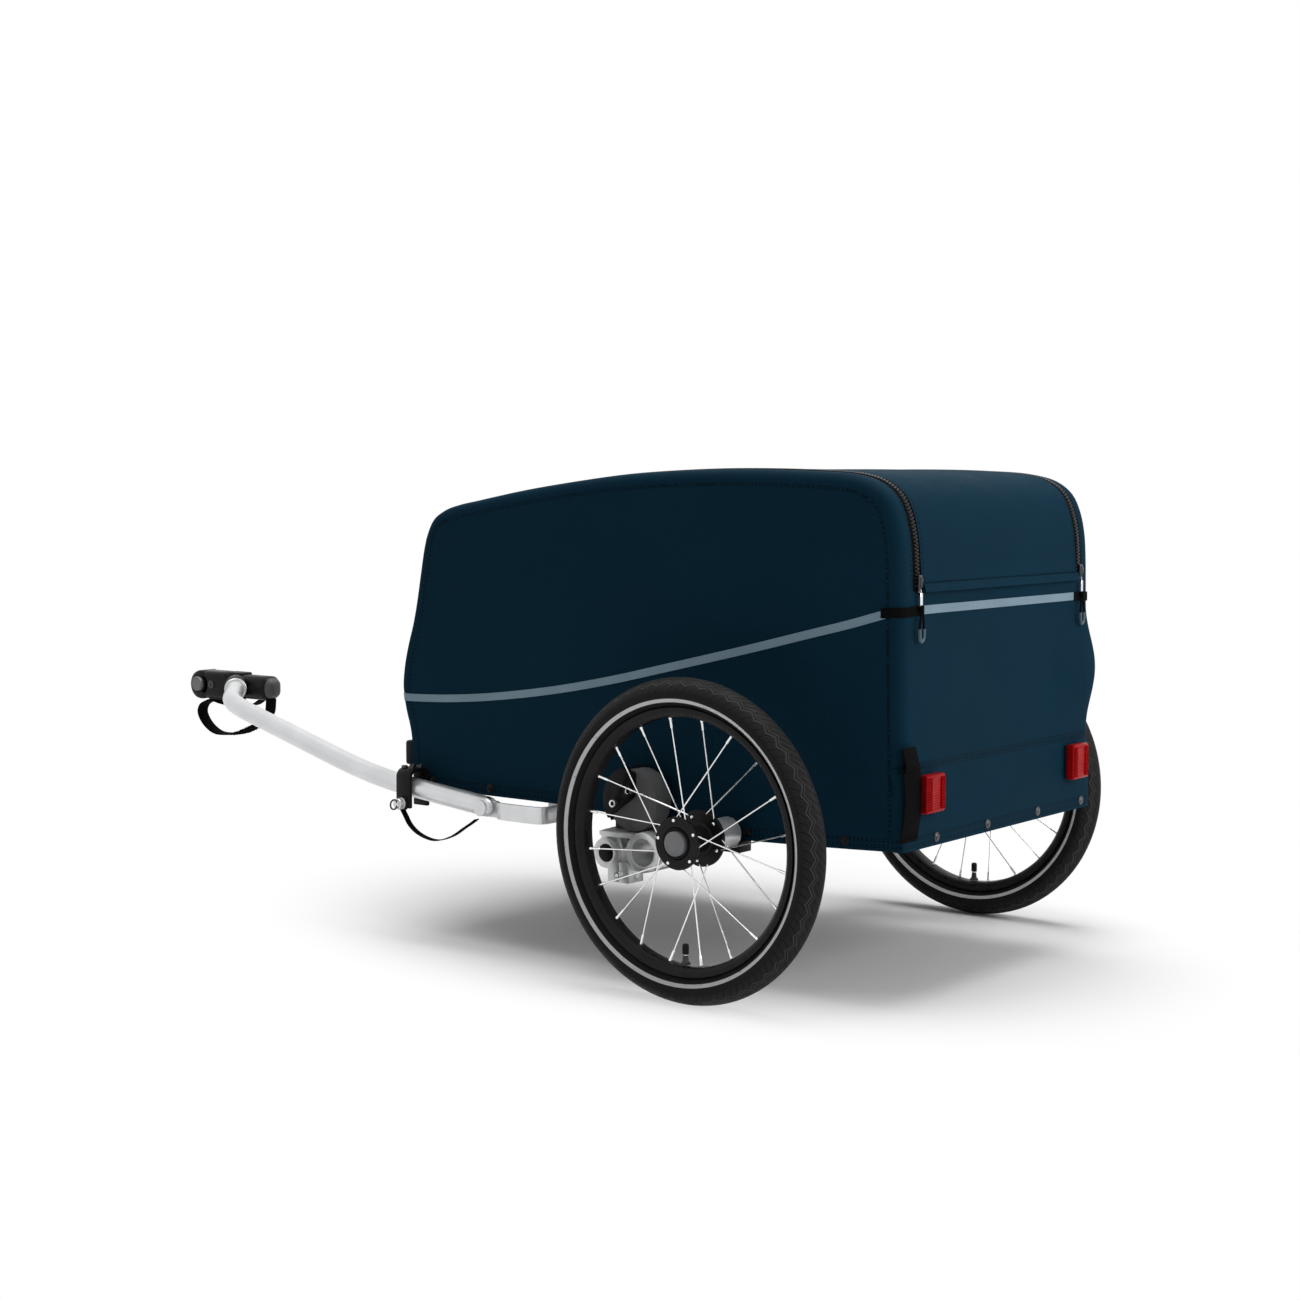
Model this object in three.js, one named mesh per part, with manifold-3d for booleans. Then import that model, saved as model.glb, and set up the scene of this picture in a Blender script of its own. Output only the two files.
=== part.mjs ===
// A two-wheeled cargo trailer that is towed by a bicycle, in millimetres.
// +X points forwards along the drawbar, +Y to the trailer's left and +Z up.
// The pieces are placed from a point on the ground below the middle of the axle.
import * as THREE from "three";
import { mergeVertices } from "three/addons/utils/BufferGeometryUtils.js";
import Module from "manifold-3d";

const wasm = await Module();
wasm.setup();

// Clearances and facets that all pieces share
const seatGap = 0.3;
const cutOverrun = 6;
const fineSides = 32;
const roundSides = 16;
const smallSides = 12;
const tubeSides = 6;

// The fabric box, from which the rails, arms, wheels, drawbar and trim take their places
const coverRear = -238;
const coverLength = 803;
const coverHalfWidth = 246;

// Wheels
const wheelRadius = 200;
const wheelGap = 1.3;
const tyreWidth = 42;
const tyreHeight = 42.2;
const rimWidth = 26;
const rimWallHeight = 6.5;
const rimWellDepth = 5.5;
const rimFlange = 2;
const rimInnerWidth = 16;
const valveRadius = 4.1;
const valveFootRadius = 6;
const valveFootHeight = 2;
const valveReach = 27;
const valveHoleGap = 0.4;
// How far up the tyre from its bead, and how far out to its side, each point of the section lies
const tyreOuterShares = [[0, 0.46], [0.16, 0.46], [0.33, 0.9], [0.5, 1], [0.75, 0.86], [0.93, 0.45]];
const tyreInnerShares = [[0, 0.32], [0.3, 0.68], [0.5, 0.85], [0.8, 0.55]];
const tyreCrownInnerShare = 0.92;

// Hub, bearings, spokes, axle and its release button
const hubInnerOffset = 40;
const hubOuterOffset = 19;
const hubCollarRadius = 17;
const hubCollarLength = 6;
const hubFlangeInnerRadius = 35;
const hubFlangeOuterRadius = 32.5;
const hubFlangeThickness = 4.5;
const hubWaistRadius = 16;
const hubShoulderRadius = 23;
const hubShoulderLength = 16;
const bearingRadius = 11;
const bearingInset = 3;
const axleRadius = 7;
const axleBoreGap = 0.3;
const axleHeadRadius = 19;
const axleHeadLength = 12.5;
const axleHeadFloor = 2.7;
const axleTail = 50;
const buttonRadius = 15.5;
const buttonTravel = 3;
const buttonProud = 5;
const spokeThickness = 2;
const spokesPerFlange = 10;
const spokeHoleRadius = 28;
const spokeLeadTurns = 0.2;
const spokeTurnShare = 0.25;

// Swing arms
const armStandOff = 44;
const armMidY = coverHalfWidth + armStandOff;
const armWidth = 30;
const armWeb = 14;
const pivotX = 165;
const pivotZ = 162;
const eyeRadius = 20;
const pivotShaftRadius = 12;
const crossBoreX = 106;
const crossBoreZ = 168;
const crossBoreRadius = 18;
const crossBossRadius = 26;
const crossTubeReach = 26;
const axleBossRadius = 20;
const axleBossInner = 22;
const axleBossOuter = 25;
const trackHalf = armMidY + axleBossOuter + wheelGap + hubInnerOffset;
const padSeatZ = 190;
const padSeatThickness = 5.5;
const padSeatLength = 82;
const earRadius = 6;
const earHoleRadius = 2.5;
const pinchWidth = 34;
const pinchDepth = 16;
const pinchSlot = 2;
const pinchBoltRadius = 4;
const pinchBoltHead = 3;
const windowWidth = 20;
const windowHeight = 16;

// Elastomer pads and the brackets that hold the arms and pads
const padX = 134.6;
const padRadius = 40;
const padDepth = 32.4;
const padFaceY = armMidY;
const bracketPlate = 4;
const bracketRim = 3.5;
const bracketBackPlate = 5;
const bracketLowDegrees = -40;
const bracketHighDegrees = 100;
const bracketHeart = 6;
const bracketBoltRadius = 4.5;
const bracketBoltHead = 3.5;
const bracketBoltX = [160, 135];
const bracketBoltZ = [225, 243];
const pivotBlockLength = 44;
const pivotBlockInset = 24;
const pivotBlockWidth = 46;
const pivotBlockInnerY = coverHalfWidth - pivotBlockInset;
const pivotBlockOuterY = pivotBlockInnerY + pivotBlockWidth;
const pivotBlockBottom = 140;
const pivotBlockShoulderZ = 188;
const pivotCollarRadius = 16;

// Base frame
const railSize = 25;
const railWall = 2;
const railBottom = 207.3;
const railFrontInset = 5;
const railFront = coverRear + coverLength - railFrontInset;
const trayThickness = 3;
const trayOverlap = 5;
const pivotBeamHeight = 24;
const pivotBeamLength = 30;
const rearBeamRadius = 12;
const rearBeamInset = 10;
const rearBeamReach = coverHalfWidth - rearBeamInset;
const rearBlockLength = 26;
const rearBlockHeight = 24;
const rearBlockReach = 26;

// Fabric cover with its lid, and the bows that hold it up
const coverBottom = 195;
const coverHeight = 455;
const coverWall = 2.5;
const lidInset = 40.3;
const lidHalfWidth = coverHalfWidth - lidInset;
const zipWidth = 7.7;
const zipProud = 1;
const bowRadius = 8;
const bowClearance = 0.9;
const bowSteps = 36;
const rearBowShare = 0.955;
const frontBowShare = 0.885;
// Side view of the cover, as shares of its length from the rear and of its height
const rearWallShares = [[0, 0], [0.006, 0.626], [0.0065, 0.681]];
const lidShares = [
  [0.007, 0.765], [0.016, 0.868], [0.034, 0.932], [0.06, 0.965], [0.095, 0.984], [0.183, 0.995],
  [0.294, 1], [0.394, 0.998], [0.533, 0.985], [0.616, 0.97], [0.745, 0.941], [0.848, 0.91],
];
const frontWallShares = [
  [0.91, 0.879], [0.934, 0.849], [0.955, 0.789], [0.98, 0.604], [0.998, 0.479], [1.009, 0.34],
  [1.001, 0.233], [1, 0.083],
];
const hemShares = [[0.82, 0.031], [0.61, 0.029], [0.37, -0.009]];

// Zip sliders and the pullers that hang from them
const sliderWidth = 7.4;
const sliderDepth = 6;
const sliderHeight = 18;
const sliderLift = 2;
const pullerWidth = 7.4;
const pullerLength = 62;
const pullerThickness = 2;
const pullerRail = 2;

// Rear reflectors, flag strap and front bumpers
const reflectorInset = 55;
const reflectorY = coverHalfWidth - reflectorInset;
const reflectorZ = 262;
const reflectorWidth = 44;
const reflectorHeight = 48;
const reflectorDepth = 16;
const reflectorTaper = 7;
const strapInset = 16.5;
const strapY = coverHalfWidth - strapInset;
const strapWidth = 31;
const strapTop = 321;
const strapBottom = 207;
const strapThickness = 2.5;
const bumperInset = 14;
const bumperY = coverHalfWidth - bumperInset;
const bumperWidth = 20;
const bumperBottom = 236;
const bumperTop = 271;
const bumperDepth = 13;

// Drawbar
const drawbarStandOff = 29;
const drawbarY = coverHalfWidth + drawbarStandOff;
const drawbarRadius = 13.75;
const drawbarBore = 11.5;
const drawbarPivotX = 393;
const drawbarPivotZ = 197;
const drawbarTail = 12;
const drawbarLowX = 600;
const drawbarLowZ = 219;
const drawbarHighX = 905;
const drawbarHighZ = 306;
const drawbarBendLow = 80;
const drawbarBendHigh = 45;
const drawbarSteps = 22;
const forkSlotLength = 17;
const forkSlotWidth = 8.6;
const pinRadius = 6;
const pinHeadRadius = 11;
const pinHeadLength = 4;
const pinTail = 3;
const pinGap = 0.3;

// Flat-bar bracket that carries the drawbar's pivot
const bracketHeight = 24;
const tongueThickness = 8;
const tongueReach = 11;
const bracketShoulder = 21;
const bracketBar = 5;
const bracketLoopLength = 72;
const bracketFootInset = 25;
const bracketFootY = coverHalfWidth - bracketFootInset;
const bracketFootLength = 40;
const bracketStandOff = 12;
const bracketInnerY = coverHalfWidth + bracketStandOff;

// Saddle that the drawbar rests in, with its locking pin and tether
const saddleX = 532;
const saddleLength = 27;
const saddleWall = 5.5;
const saddleClearance = 0.8;
const saddleTopClearance = 2;
const saddleTopThickness = 8;
const saddleLegDrop = 7.5;
const saddleFootInset = 27;
const saddleFootY = coverHalfWidth - saddleFootInset;
const saddleFootHeight = 12;
const saddleBoltRadius = 4.5;
const saddleBoltHead = 3;
const lockPinRadius = 4.5;
const lockPinHeadRadius = 8;
const lockPinHeadLength = 12;
const lockPinRingRadius = 7;
const lockPinRingWire = 1.5;
const tetherThickness = 2;
const tetherWidth = 10;
const tetherSideGap = 1.25;
// The tether's sag, as shares of the way back to the pivot and of its depth
const tetherSag = 36;
const tetherShares = [
  [0, 0], [0.03, 0.16], [0.1, 0.53], [0.22, 0.83], [0.44, 1], [0.66, 0.77], [0.83, 0.38],
  [0.94, 0.12], [0.985, 0],
];

// Hitch housing at the front of the drawbar
const hitchRear = 945;
const hitchFront = 1120;
const hitchStandIn = 125;
const hitchY = drawbarY - hitchStandIn;
const hitchWidth = 36;
const hitchZ = 316;
const hitchHeight = 32;
const hitchCorner = 5;
const hitchTubeX = 1010;
const ferruleRadius = 17.5;
const ferruleLength = 24;
const hitchButtonX = 1098;
const hitchButtonRadius = 11.5;
const hitchButtonTravel = 4;
const hitchButtonProud = 2;
const hitchButtonDepth = 9;
const keyLockX = 1069;
const keyLockRadius = 6.5;
const keyLockDepth = 12;
const keyLockProud = 1.2;
const keySlotWidth = 1.6;
const keySlotLength = 7;
const keySlotDepth = 4;
const couplingX = 1094;
const couplingRadius = 9;
const couplingDepth = 14;
const capThickness = 5;
const capHeight = 28;
const capWidth = 30;
const hitchBumpX = 1046;
const hitchBumpLength = 24;
const hitchBumpWidth = 16;
const hitchBumpHeight = 5;
const lugX = 1068;
const lugLength = 46;
const lugHeight = 9;
const lugWidth = 22;
const strapLoopThickness = 3;
const strapLoopWidth = 20;
const strapLoopDrop = 52;
// The hanging strap loop, as shares of its length back from the lug's front and of its drop
const strapLoopLength = 150;
const strapLoopShares = [
  [0.035, 0.02], [-0.1, 0.2], [-0.13, 0.42], [-0.06, 0.74], [0.1, 1], [0.3, 1.02], [0.5, 0.92],
  [0.75, 0.62], [0.9, 0.3], [0.93, -0.14],
];

const blackPlastic = { color: 0x141516, roughness: 0.55, metalness: 0 };
const greyPlastic = { color: 0x8d9093, roughness: 0.5, metalness: 0 };
const padFoam = { color: 0x4c4e50, roughness: 0.85, metalness: 0 };
const tyreRubber = { color: 0x242526, roughness: 0.85, metalness: 0 };
const blackMetal = { color: 0x17181a, roughness: 0.4, metalness: 0.4 };
const silver = { color: 0xd4d7da, roughness: 0.35, metalness: 0.9 };
const steel = { color: 0xb9bcc0, roughness: 0.3, metalness: 1 };
const navyFabric = { color: 0x0e2233, roughness: 0.9, metalness: 0 };
const blackWebbing = { color: 0x111112, roughness: 0.95, metalness: 0 };
const redLens = { color: 0xa01318, roughness: 0.2, metalness: 0 };
const trayBoard = { color: 0x1b1d1f, roughness: 0.8, metalness: 0 };

const trailer = new THREE.Group();

// A named piece with its own material, added to a group
function addPiece(group, name, geometry, finish) {
  const mesh = new THREE.Mesh(geometry, new THREE.MeshStandardMaterial(finish));
  mesh.name = name;
  group.add(mesh);
  return mesh;
}

// Six times the volume inside a list of triangles, negative where they face inwards
function signedVolume(positions, index) {
  const [a, b, c] = [new THREE.Vector3(), new THREE.Vector3(), new THREE.Vector3()];
  let sum = 0;
  for (let i = 0; i < index.length; i += 3) {
    a.fromBufferAttribute(positions, index[i]);
    b.fromBufferAttribute(positions, index[i + 1]);
    c.fromBufferAttribute(positions, index[i + 2]);
    sum += a.dot(b.cross(c));
  }
  return sum;
}

// The same shape with shared corners merged, flat triangles dropped and every face outwards
function welded(geometry) {
  const bare = geometry.clone();
  bare.deleteAttribute("normal");
  bare.deleteAttribute("uv");
  const merged = mergeVertices(bare);
  const all = merged.index.array;
  const index = [];
  for (let i = 0; i < all.length; i += 3) {
    const [p, q, r] = [all[i], all[i + 1], all[i + 2]];
    if (p !== q && q !== r && r !== p) {
      index.push(p, q, r);
    }
  }
  if (signedVolume(merged.attributes.position, index) < 0) {
    index.reverse();
  }
  merged.setIndex(index);
  merged.computeVertexNormals();
  return merged;
}

function toSolid(geometry) {
  const closed = welded(geometry);
  return new wasm.Manifold(new wasm.Mesh({
    numProp: 3,
    vertProperties: new Float32Array(closed.attributes.position.array),
    triVerts: new Uint32Array(closed.index.array),
  }));
}

function fromSolid(solid) {
  const mesh = solid.getMesh();
  const geometry = new THREE.BufferGeometry();
  geometry.setAttribute("position", new THREE.BufferAttribute(new Float32Array(mesh.vertProperties), 3));
  geometry.setIndex(Array.from(mesh.triVerts));
  geometry.computeVertexNormals();
  return geometry;
}

function joined(first, ...others) {
  return fromSolid(others.reduce((sum, other) => sum.add(toSolid(other)), toSolid(first)));
}

function cut(first, ...others) {
  return fromSolid(others.reduce((rest, other) => rest.subtract(toSolid(other)), toSolid(first)));
}

// The mirror image of a left-hand piece, across the trailer's middle plane
function mirrored(geometry) {
  return welded(geometry.clone().scale(1, -1, 1));
}

// A block between two corners
function block(x0, x1, y0, y1, z0, z1) {
  const geometry = new THREE.BoxGeometry(x1 - x0, y1 - y0, z1 - z0);
  return geometry.translate((x0 + x1) / 2, (y0 + y1) / 2, (z0 + z1) / 2);
}

// A square tube between two corners, hollow along X or Y
function boxTube(x0, x1, y0, y1, z0, z1, alongX) {
  const [wallX, wallY] = alongX ? [-cutOverrun, railWall] : [railWall, -cutOverrun];
  const hollow = block(x0 + wallX, x1 - wallX, y0 + wallY, y1 - wallY, z0 + railWall, z1 - railWall);
  return cut(block(x0, x1, y0, y1, z0, z1), hollow);
}

// A round bar along Y
function bar(x, z, radius, y0, y1, sides) {
  const geometry = new THREE.CylinderGeometry(radius, radius, y1 - y0, sides);
  return geometry.translate(x, (y0 + y1) / 2, z);
}

// A ring or knob turned about Y, from points given as [radius, y]
function turned(profile, sides, x = 0, z = 0) {
  const points = profile.map(([radius, y]) => new THREE.Vector2(radius, y));
  const onAxis = points[0].x === 0 && points[points.length - 1].x === 0;
  if (!onAxis) {
    points.push(points[0].clone());
  }
  return welded(new THREE.LatheGeometry(points, sides)).translate(x, 0, z);
}

// A plate cut to a side view of [x, z] points, between two places across the trailer
function sidePlate(points, y0, y1) {
  const shape = new THREE.Shape(points.map(([x, z]) => new THREE.Vector2(x, z)));
  const geometry = new THREE.ExtrudeGeometry(shape, { depth: y1 - y0, bevelEnabled: false });
  return geometry.rotateX(Math.PI / 2).translate(0, y1, 0);
}

// A plate cut to a plan of [x, y] points, between two heights
function planPlate(points, z0, z1) {
  const shape = new THREE.Shape(points.map(([x, y]) => new THREE.Vector2(x, y)));
  const geometry = new THREE.ExtrudeGeometry(shape, { depth: z1 - z0, bevelEnabled: false });
  return geometry.translate(0, 0, z0);
}

// Points on an arc about a centre
function arcPoints(x, z, radius, fromDegrees, toDegrees, count) {
  return Array.from({ length: count + 1 }, (_, i) => {
    const angle = THREE.MathUtils.degToRad(fromDegrees + (toDegrees - fromDegrees) * i / count);
    return [x + radius * Math.cos(angle), z + radius * Math.sin(angle)];
  });
}

// A line of [x, z] points moved sideways, to the right of its direction where the distance is positive
function offsetLine(points, distance) {
  const normals = points.slice(1).map(([x, z], i) => {
    const along = new THREE.Vector2(x - points[i][0], z - points[i][1]).normalize();
    return new THREE.Vector2(along.y, -along.x);
  });
  return points.map(([x, z], i) => {
    const before = normals[Math.max(i - 1, 0)];
    const after = normals[Math.min(i, normals.length - 1)];
    const middle = before.clone().add(after).normalize();
    const reach = distance / middle.dot(before);
    return [x + middle.x * reach, z + middle.y * reach];
  });
}

// A bent strip of even thickness along a line of [x, z] points, left and right of it
function strip(points, left, right, y0, y1) {
  const outline = [...offsetLine(points, -left), ...offsetLine(points, right).reverse()];
  return sidePlate(outline, y0, y1);
}

// The same line with its first and last points moved inwards along it
function trimmed(points, startTrim, endTrim) {
  const moved = points.map((point) => [...point]);
  const pull = (end, inner, distance) => {
    const length = Math.hypot(inner[0] - end[0], inner[1] - end[1]);
    end[0] += (inner[0] - end[0]) * distance / length;
    end[1] += (inner[1] - end[1]) * distance / length;
  };
  pull(moved[0], points[1], startTrim);
  pull(moved[moved.length - 1], points[points.length - 2], endTrim);
  return moved;
}

// A solid rod or a pipe swept along a curve
function swept(curve, radius, bore, sides, steps) {
  const section = new THREE.Shape(
    arcPoints(0, 0, radius, 0, 360, sides).slice(0, -1).map(([x, y]) => new THREE.Vector2(x, y)),
  );
  if (bore > 0) {
    section.holes.push(new THREE.Path(
      arcPoints(0, 0, bore, 360, 0, sides).slice(0, -1).map(([x, y]) => new THREE.Vector2(x, y)),
    ));
  }
  return welded(new THREE.ExtrudeGeometry(section, { extrudePath: curve, steps, bevelEnabled: false }));
}

// Wheels: every piece lies about the wheel's own centre, with the left wheel's outside towards +Y
const beadRadius = wheelRadius - tyreHeight;
const rimBedRadius = beadRadius - seatGap;
const rimEdgeRadius = rimBedRadius + rimWallHeight;
const rimInnerRadius = rimBedRadius - rimWellDepth;
const hubBore = bearingRadius + axleBoreGap;
const headBore = axleHeadRadius + 2 * axleBoreGap;
const hubSeat = hubOuterOffset - axleHeadLength - seatGap;

function sectionPoint([heightShare, widthShare], side) {
  return [beadRadius + tyreHeight * heightShare, side * widthShare * tyreWidth / 2];
}

function tyreGeometry() {
  const outer = [
    ...tyreOuterShares.map((share) => sectionPoint(share, -1)),
    [wheelRadius, 0],
    ...tyreOuterShares.map((share) => sectionPoint(share, 1)).reverse(),
  ];
  const inner = [
    ...tyreInnerShares.map((share) => sectionPoint(share, 1)),
    [beadRadius + tyreHeight * tyreCrownInnerShare, 0],
    ...tyreInnerShares.map((share) => sectionPoint(share, -1)).reverse(),
  ];
  return turned([...outer, ...inner], fineSides);
}

function rimGeometry() {
  const half = rimWidth / 2;
  const ring = turned([
    [rimInnerRadius, -rimInnerWidth / 2],
    [rimBedRadius, -half],
    [rimEdgeRadius, -half],
    [rimEdgeRadius, -half + rimFlange],
    [rimBedRadius, -half + rimFlange],
    [rimBedRadius, half - rimFlange],
    [rimEdgeRadius, half - rimFlange],
    [rimEdgeRadius, half],
    [rimBedRadius, half],
    [rimInnerRadius, rimInnerWidth / 2],
  ], fineSides);
  const hole = new THREE.CylinderGeometry(
    valveRadius + valveHoleGap, valveRadius + valveHoleGap,
    rimEdgeRadius - rimInnerRadius + 2 * cutOverrun, smallSides,
  ).rotateX(Math.PI / 2).translate(0, 0, -(rimInnerRadius + rimEdgeRadius) / 2);
  return cut(ring, hole);
}

function valveGeometry() {
  const footTop = beadRadius + seatGap;
  const profile = [
    [0, footTop + valveFootHeight],
    [valveFootRadius, footTop + valveFootHeight],
    [valveFootRadius, footTop],
    [valveRadius, footTop],
    [valveRadius, rimInnerRadius - valveReach],
    [0, rimInnerRadius - valveReach],
  ];
  return turned(profile, smallSides).rotateX(-Math.PI / 2);
}

function spokeGeometry(flangeY, index, lead) {
  const hubAngle = 2 * Math.PI * (index + spokeTurnShare) / spokesPerFlange;
  const rimAngle = hubAngle + 2 * Math.PI * spokeLeadTurns * lead / 2;
  const start = new THREE.Vector3(
    spokeHoleRadius * Math.cos(hubAngle), flangeY, spokeHoleRadius * Math.sin(hubAngle),
  );
  const reach = rimInnerRadius - seatGap - spokeThickness / 2;
  const end = new THREE.Vector3(reach * Math.cos(rimAngle), 0, reach * Math.sin(rimAngle));
  const length = start.distanceTo(end);
  const spoke = new THREE.BoxGeometry(spokeThickness, length, spokeThickness);
  const turn = new THREE.Quaternion().setFromUnitVectors(
    new THREE.Vector3(0, 1, 0), end.clone().sub(start).normalize(),
  );
  const middle = start.clone().add(end).multiplyScalar(1 / 2);
  return spoke.applyQuaternion(turn).translate(middle.x, middle.y, middle.z);
}

function hubGeometry() {
  const inner = -hubInnerOffset;
  const outer = hubOuterOffset;
  const collarEnd = inner + hubCollarLength;
  const shell = turned([
    [hubBore, inner],
    [hubCollarRadius, inner],
    [hubCollarRadius, collarEnd],
    [hubFlangeInnerRadius, collarEnd],
    [hubFlangeInnerRadius, collarEnd + hubFlangeThickness],
    [hubWaistRadius, collarEnd + 2 * hubFlangeThickness],
    [hubShoulderRadius, outer - hubShoulderLength],
    [hubFlangeOuterRadius, outer - hubFlangeThickness],
    [hubFlangeOuterRadius, outer],
    [headBore, outer],
    [headBore, hubSeat],
    [hubBore, hubSeat],
  ], roundSides);
  const spokes = [];
  for (let i = 0; i < spokesPerFlange; i += 1) {
    const lead = i % 2 === 0 ? 1 : -1;
    spokes.push(spokeGeometry(outer - hubFlangeThickness / 2, i, lead));
    spokes.push(spokeGeometry(collarEnd + hubFlangeThickness / 2, i + 1 / 2, lead));
  }
  return joined(shell, ...spokes);
}

function bearingGeometry() {
  return turned([
    [axleRadius + axleBoreGap, -hubInnerOffset + bearingInset],
    [bearingRadius, -hubInnerOffset + bearingInset],
    [bearingRadius, hubSeat - bearingInset],
    [axleRadius + axleBoreGap, hubSeat - bearingInset],
  ], roundSides);
}

const axleHeadBack = hubSeat + seatGap;
const axleHeadFront = axleHeadBack + axleHeadLength;
const buttonSeat = axleHeadBack + axleHeadFloor;
const buttonBack = buttonSeat + buttonTravel + seatGap;

function axleGeometry() {
  return turned([
    [0, -hubInnerOffset - axleTail],
    [axleRadius, -hubInnerOffset - axleTail],
    [axleRadius, axleHeadBack],
    [axleHeadRadius, axleHeadBack],
    [axleHeadRadius, axleHeadFront],
    [buttonRadius + axleBoreGap, axleHeadFront],
    [buttonRadius + axleBoreGap, buttonSeat],
    [0, buttonSeat],
  ], roundSides);
}

function buttonGeometry() {
  return turned([
    [0, buttonBack],
    [buttonRadius, buttonBack],
    [buttonRadius, axleHeadFront + buttonProud],
    [0, axleHeadFront + buttonProud],
  ], roundSides);
}

// A swing arm: a cast web with an axle boss, a clamped pivot eye, a cross bore and a pad seat
function swingArmGeometry() {
  const low = armMidY - armWidth / 2;
  const high = armMidY + armWidth / 2;
  const seatTop = padSeatZ - seatGap;
  const seatRear = padX - padSeatLength / 2;
  const seatFront = padX + padSeatLength / 2;
  const web = sidePlate([
    [0, wheelRadius + axleBossRadius / 2],
    [seatRear, seatTop],
    [seatFront, seatTop],
    [pivotX + eyeRadius, pivotZ],
    [pivotX, pivotZ - eyeRadius],
    [crossBoreX, crossBoreZ - crossBossRadius],
    [0, wheelRadius - axleBossRadius],
  ], armMidY - armWeb / 2, armMidY + armWeb / 2);
  const seat = block(seatRear, seatFront, low, high, seatTop - padSeatThickness, seatTop);
  const eye = bar(pivotX, pivotZ, eyeRadius, low, high, roundSides);
  const crossBoss = bar(crossBoreX, crossBoreZ, crossBossRadius, low - crossTubeReach, high, roundSides);
  const axleBoss = bar(
    0, wheelRadius, axleBossRadius, armMidY - axleBossInner, armMidY + axleBossOuter, roundSides,
  );
  const ear = bar(seatFront + earRadius / 2, seatTop - earRadius, earRadius, low, high - armWeb, smallSides);
  const pinchX = pivotX - eyeRadius;
  const pinchLow = pivotZ - eyeRadius - pinchDepth;
  const pinchTop = pivotZ - eyeRadius / 2;
  const pinch = block(
    pinchX - pinchWidth / 2, pinchX + pinchWidth / 2, low, high, pinchLow, pinchTop,
  );
  const boltZ = pinchLow + pinchDepth / 2;
  const boltLength = pinchWidth + 2 * pinchBoltHead;
  const bolt = new THREE.CylinderGeometry(pinchBoltRadius, pinchBoltRadius, boltLength, smallSides);
  bolt.rotateZ(Math.PI / 2).translate(pinchX, armMidY, boltZ);
  const slot = block(
    pinchX - pinchSlot / 2, pinchX + pinchSlot / 2, low - cutOverrun, high + cutOverrun,
    pinchLow - cutOverrun, pinchTop,
  );
  const windowX = (pivotX - eyeRadius + crossBoreX + crossBossRadius) / 2;
  const windowTop = seatTop - padSeatThickness - pinchSlot;
  const windowCut = sidePlate([
    [windowX - windowWidth / 2, windowTop],
    [windowX + windowWidth / 2, windowTop],
    [windowX + windowWidth / 4, windowTop - windowHeight],
  ], low - cutOverrun, high + cutOverrun);
  const reach = [low - crossTubeReach - cutOverrun, high + cutOverrun];
  const casting = cut(
    joined(web, seat, eye, crossBoss, axleBoss, ear, pinch),
    slot,
    windowCut,
    bar(pivotX, pivotZ, pivotShaftRadius, ...reach, roundSides),
    bar(crossBoreX, crossBoreZ, crossBoreRadius, ...reach, roundSides),
    bar(0, wheelRadius, axleRadius + axleBoreGap, armMidY - armWidth, armMidY + armWidth, roundSides),
    bar(seatFront + earRadius / 2, seatTop - earRadius, earHoleRadius, ...reach, smallSides),
  );
  return joined(casting, bolt);
}

// The elastomer pad that the arm presses on
const padZ = padSeatZ + padRadius;

function padGeometry() {
  return bar(padX, padZ, padRadius, padFaceY - padDepth, padFaceY, roundSides);
}

// The black bracket: a block under the rail, the arm's pivot shaft and a cup round the pad's front
function suspensionBracketGeometry() {
  const x0 = pivotX - pivotBlockLength / 2;
  const x1 = pivotX + pivotBlockLength / 2;
  const backY = padFaceY - padDepth - seatGap;
  const frontY = padFaceY + seatGap;
  const cupInner = padRadius + seatGap;
  const cupOuter = cupInner + bracketRim;
  const sector = arcPoints(padX, padZ, cupOuter, bracketLowDegrees, bracketHighDegrees, smallSides);
  const innerArc = arcPoints(padX, padZ, cupInner, bracketHighDegrees, bracketLowDegrees, smallSides);
  const plate = [...sector, [padX - bracketHeart, padZ - bracketHeart]];
  const upper = block(
    x0, x1, pivotBlockInnerY, coverHalfWidth - coverWall - seatGap, pivotBlockBottom, railBottom - seatGap,
  );
  const lower = block(x0, x1, pivotBlockInnerY, pivotBlockOuterY, pivotBlockBottom, pivotBlockShoulderZ);
  const backPlate = sidePlate(plate, backY - bracketBackPlate, backY);
  const leg = block(padX + padRadius / 2, x1, backY - bracketBackPlate, backY, pivotBlockBottom, padZ);
  const cup = sidePlate([...sector, ...innerArc], backY - bracketBackPlate, frontY + bracketPlate);
  const frontPlate = sidePlate(plate, frontY, frontY + bracketPlate);
  const collar = bar(
    pivotX, pivotZ, pivotCollarRadius,
    pivotBlockOuterY - cutOverrun, armMidY - armWidth / 2 - seatGap, roundSides,
  );
  const shaft = bar(
    pivotX, pivotZ, pivotShaftRadius - seatGap,
    pivotBlockOuterY - cutOverrun, armMidY + armWidth / 2, roundSides,
  );
  const bolts = bracketBoltX.map((x, i) => bar(
    x, bracketBoltZ[i], bracketBoltRadius, frontY, frontY + bracketPlate + bracketBoltHead, smallSides,
  ));
  return joined(lower, upper, backPlate, leg, cup, frontPlate, collar, shaft, ...bolts);
}

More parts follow.
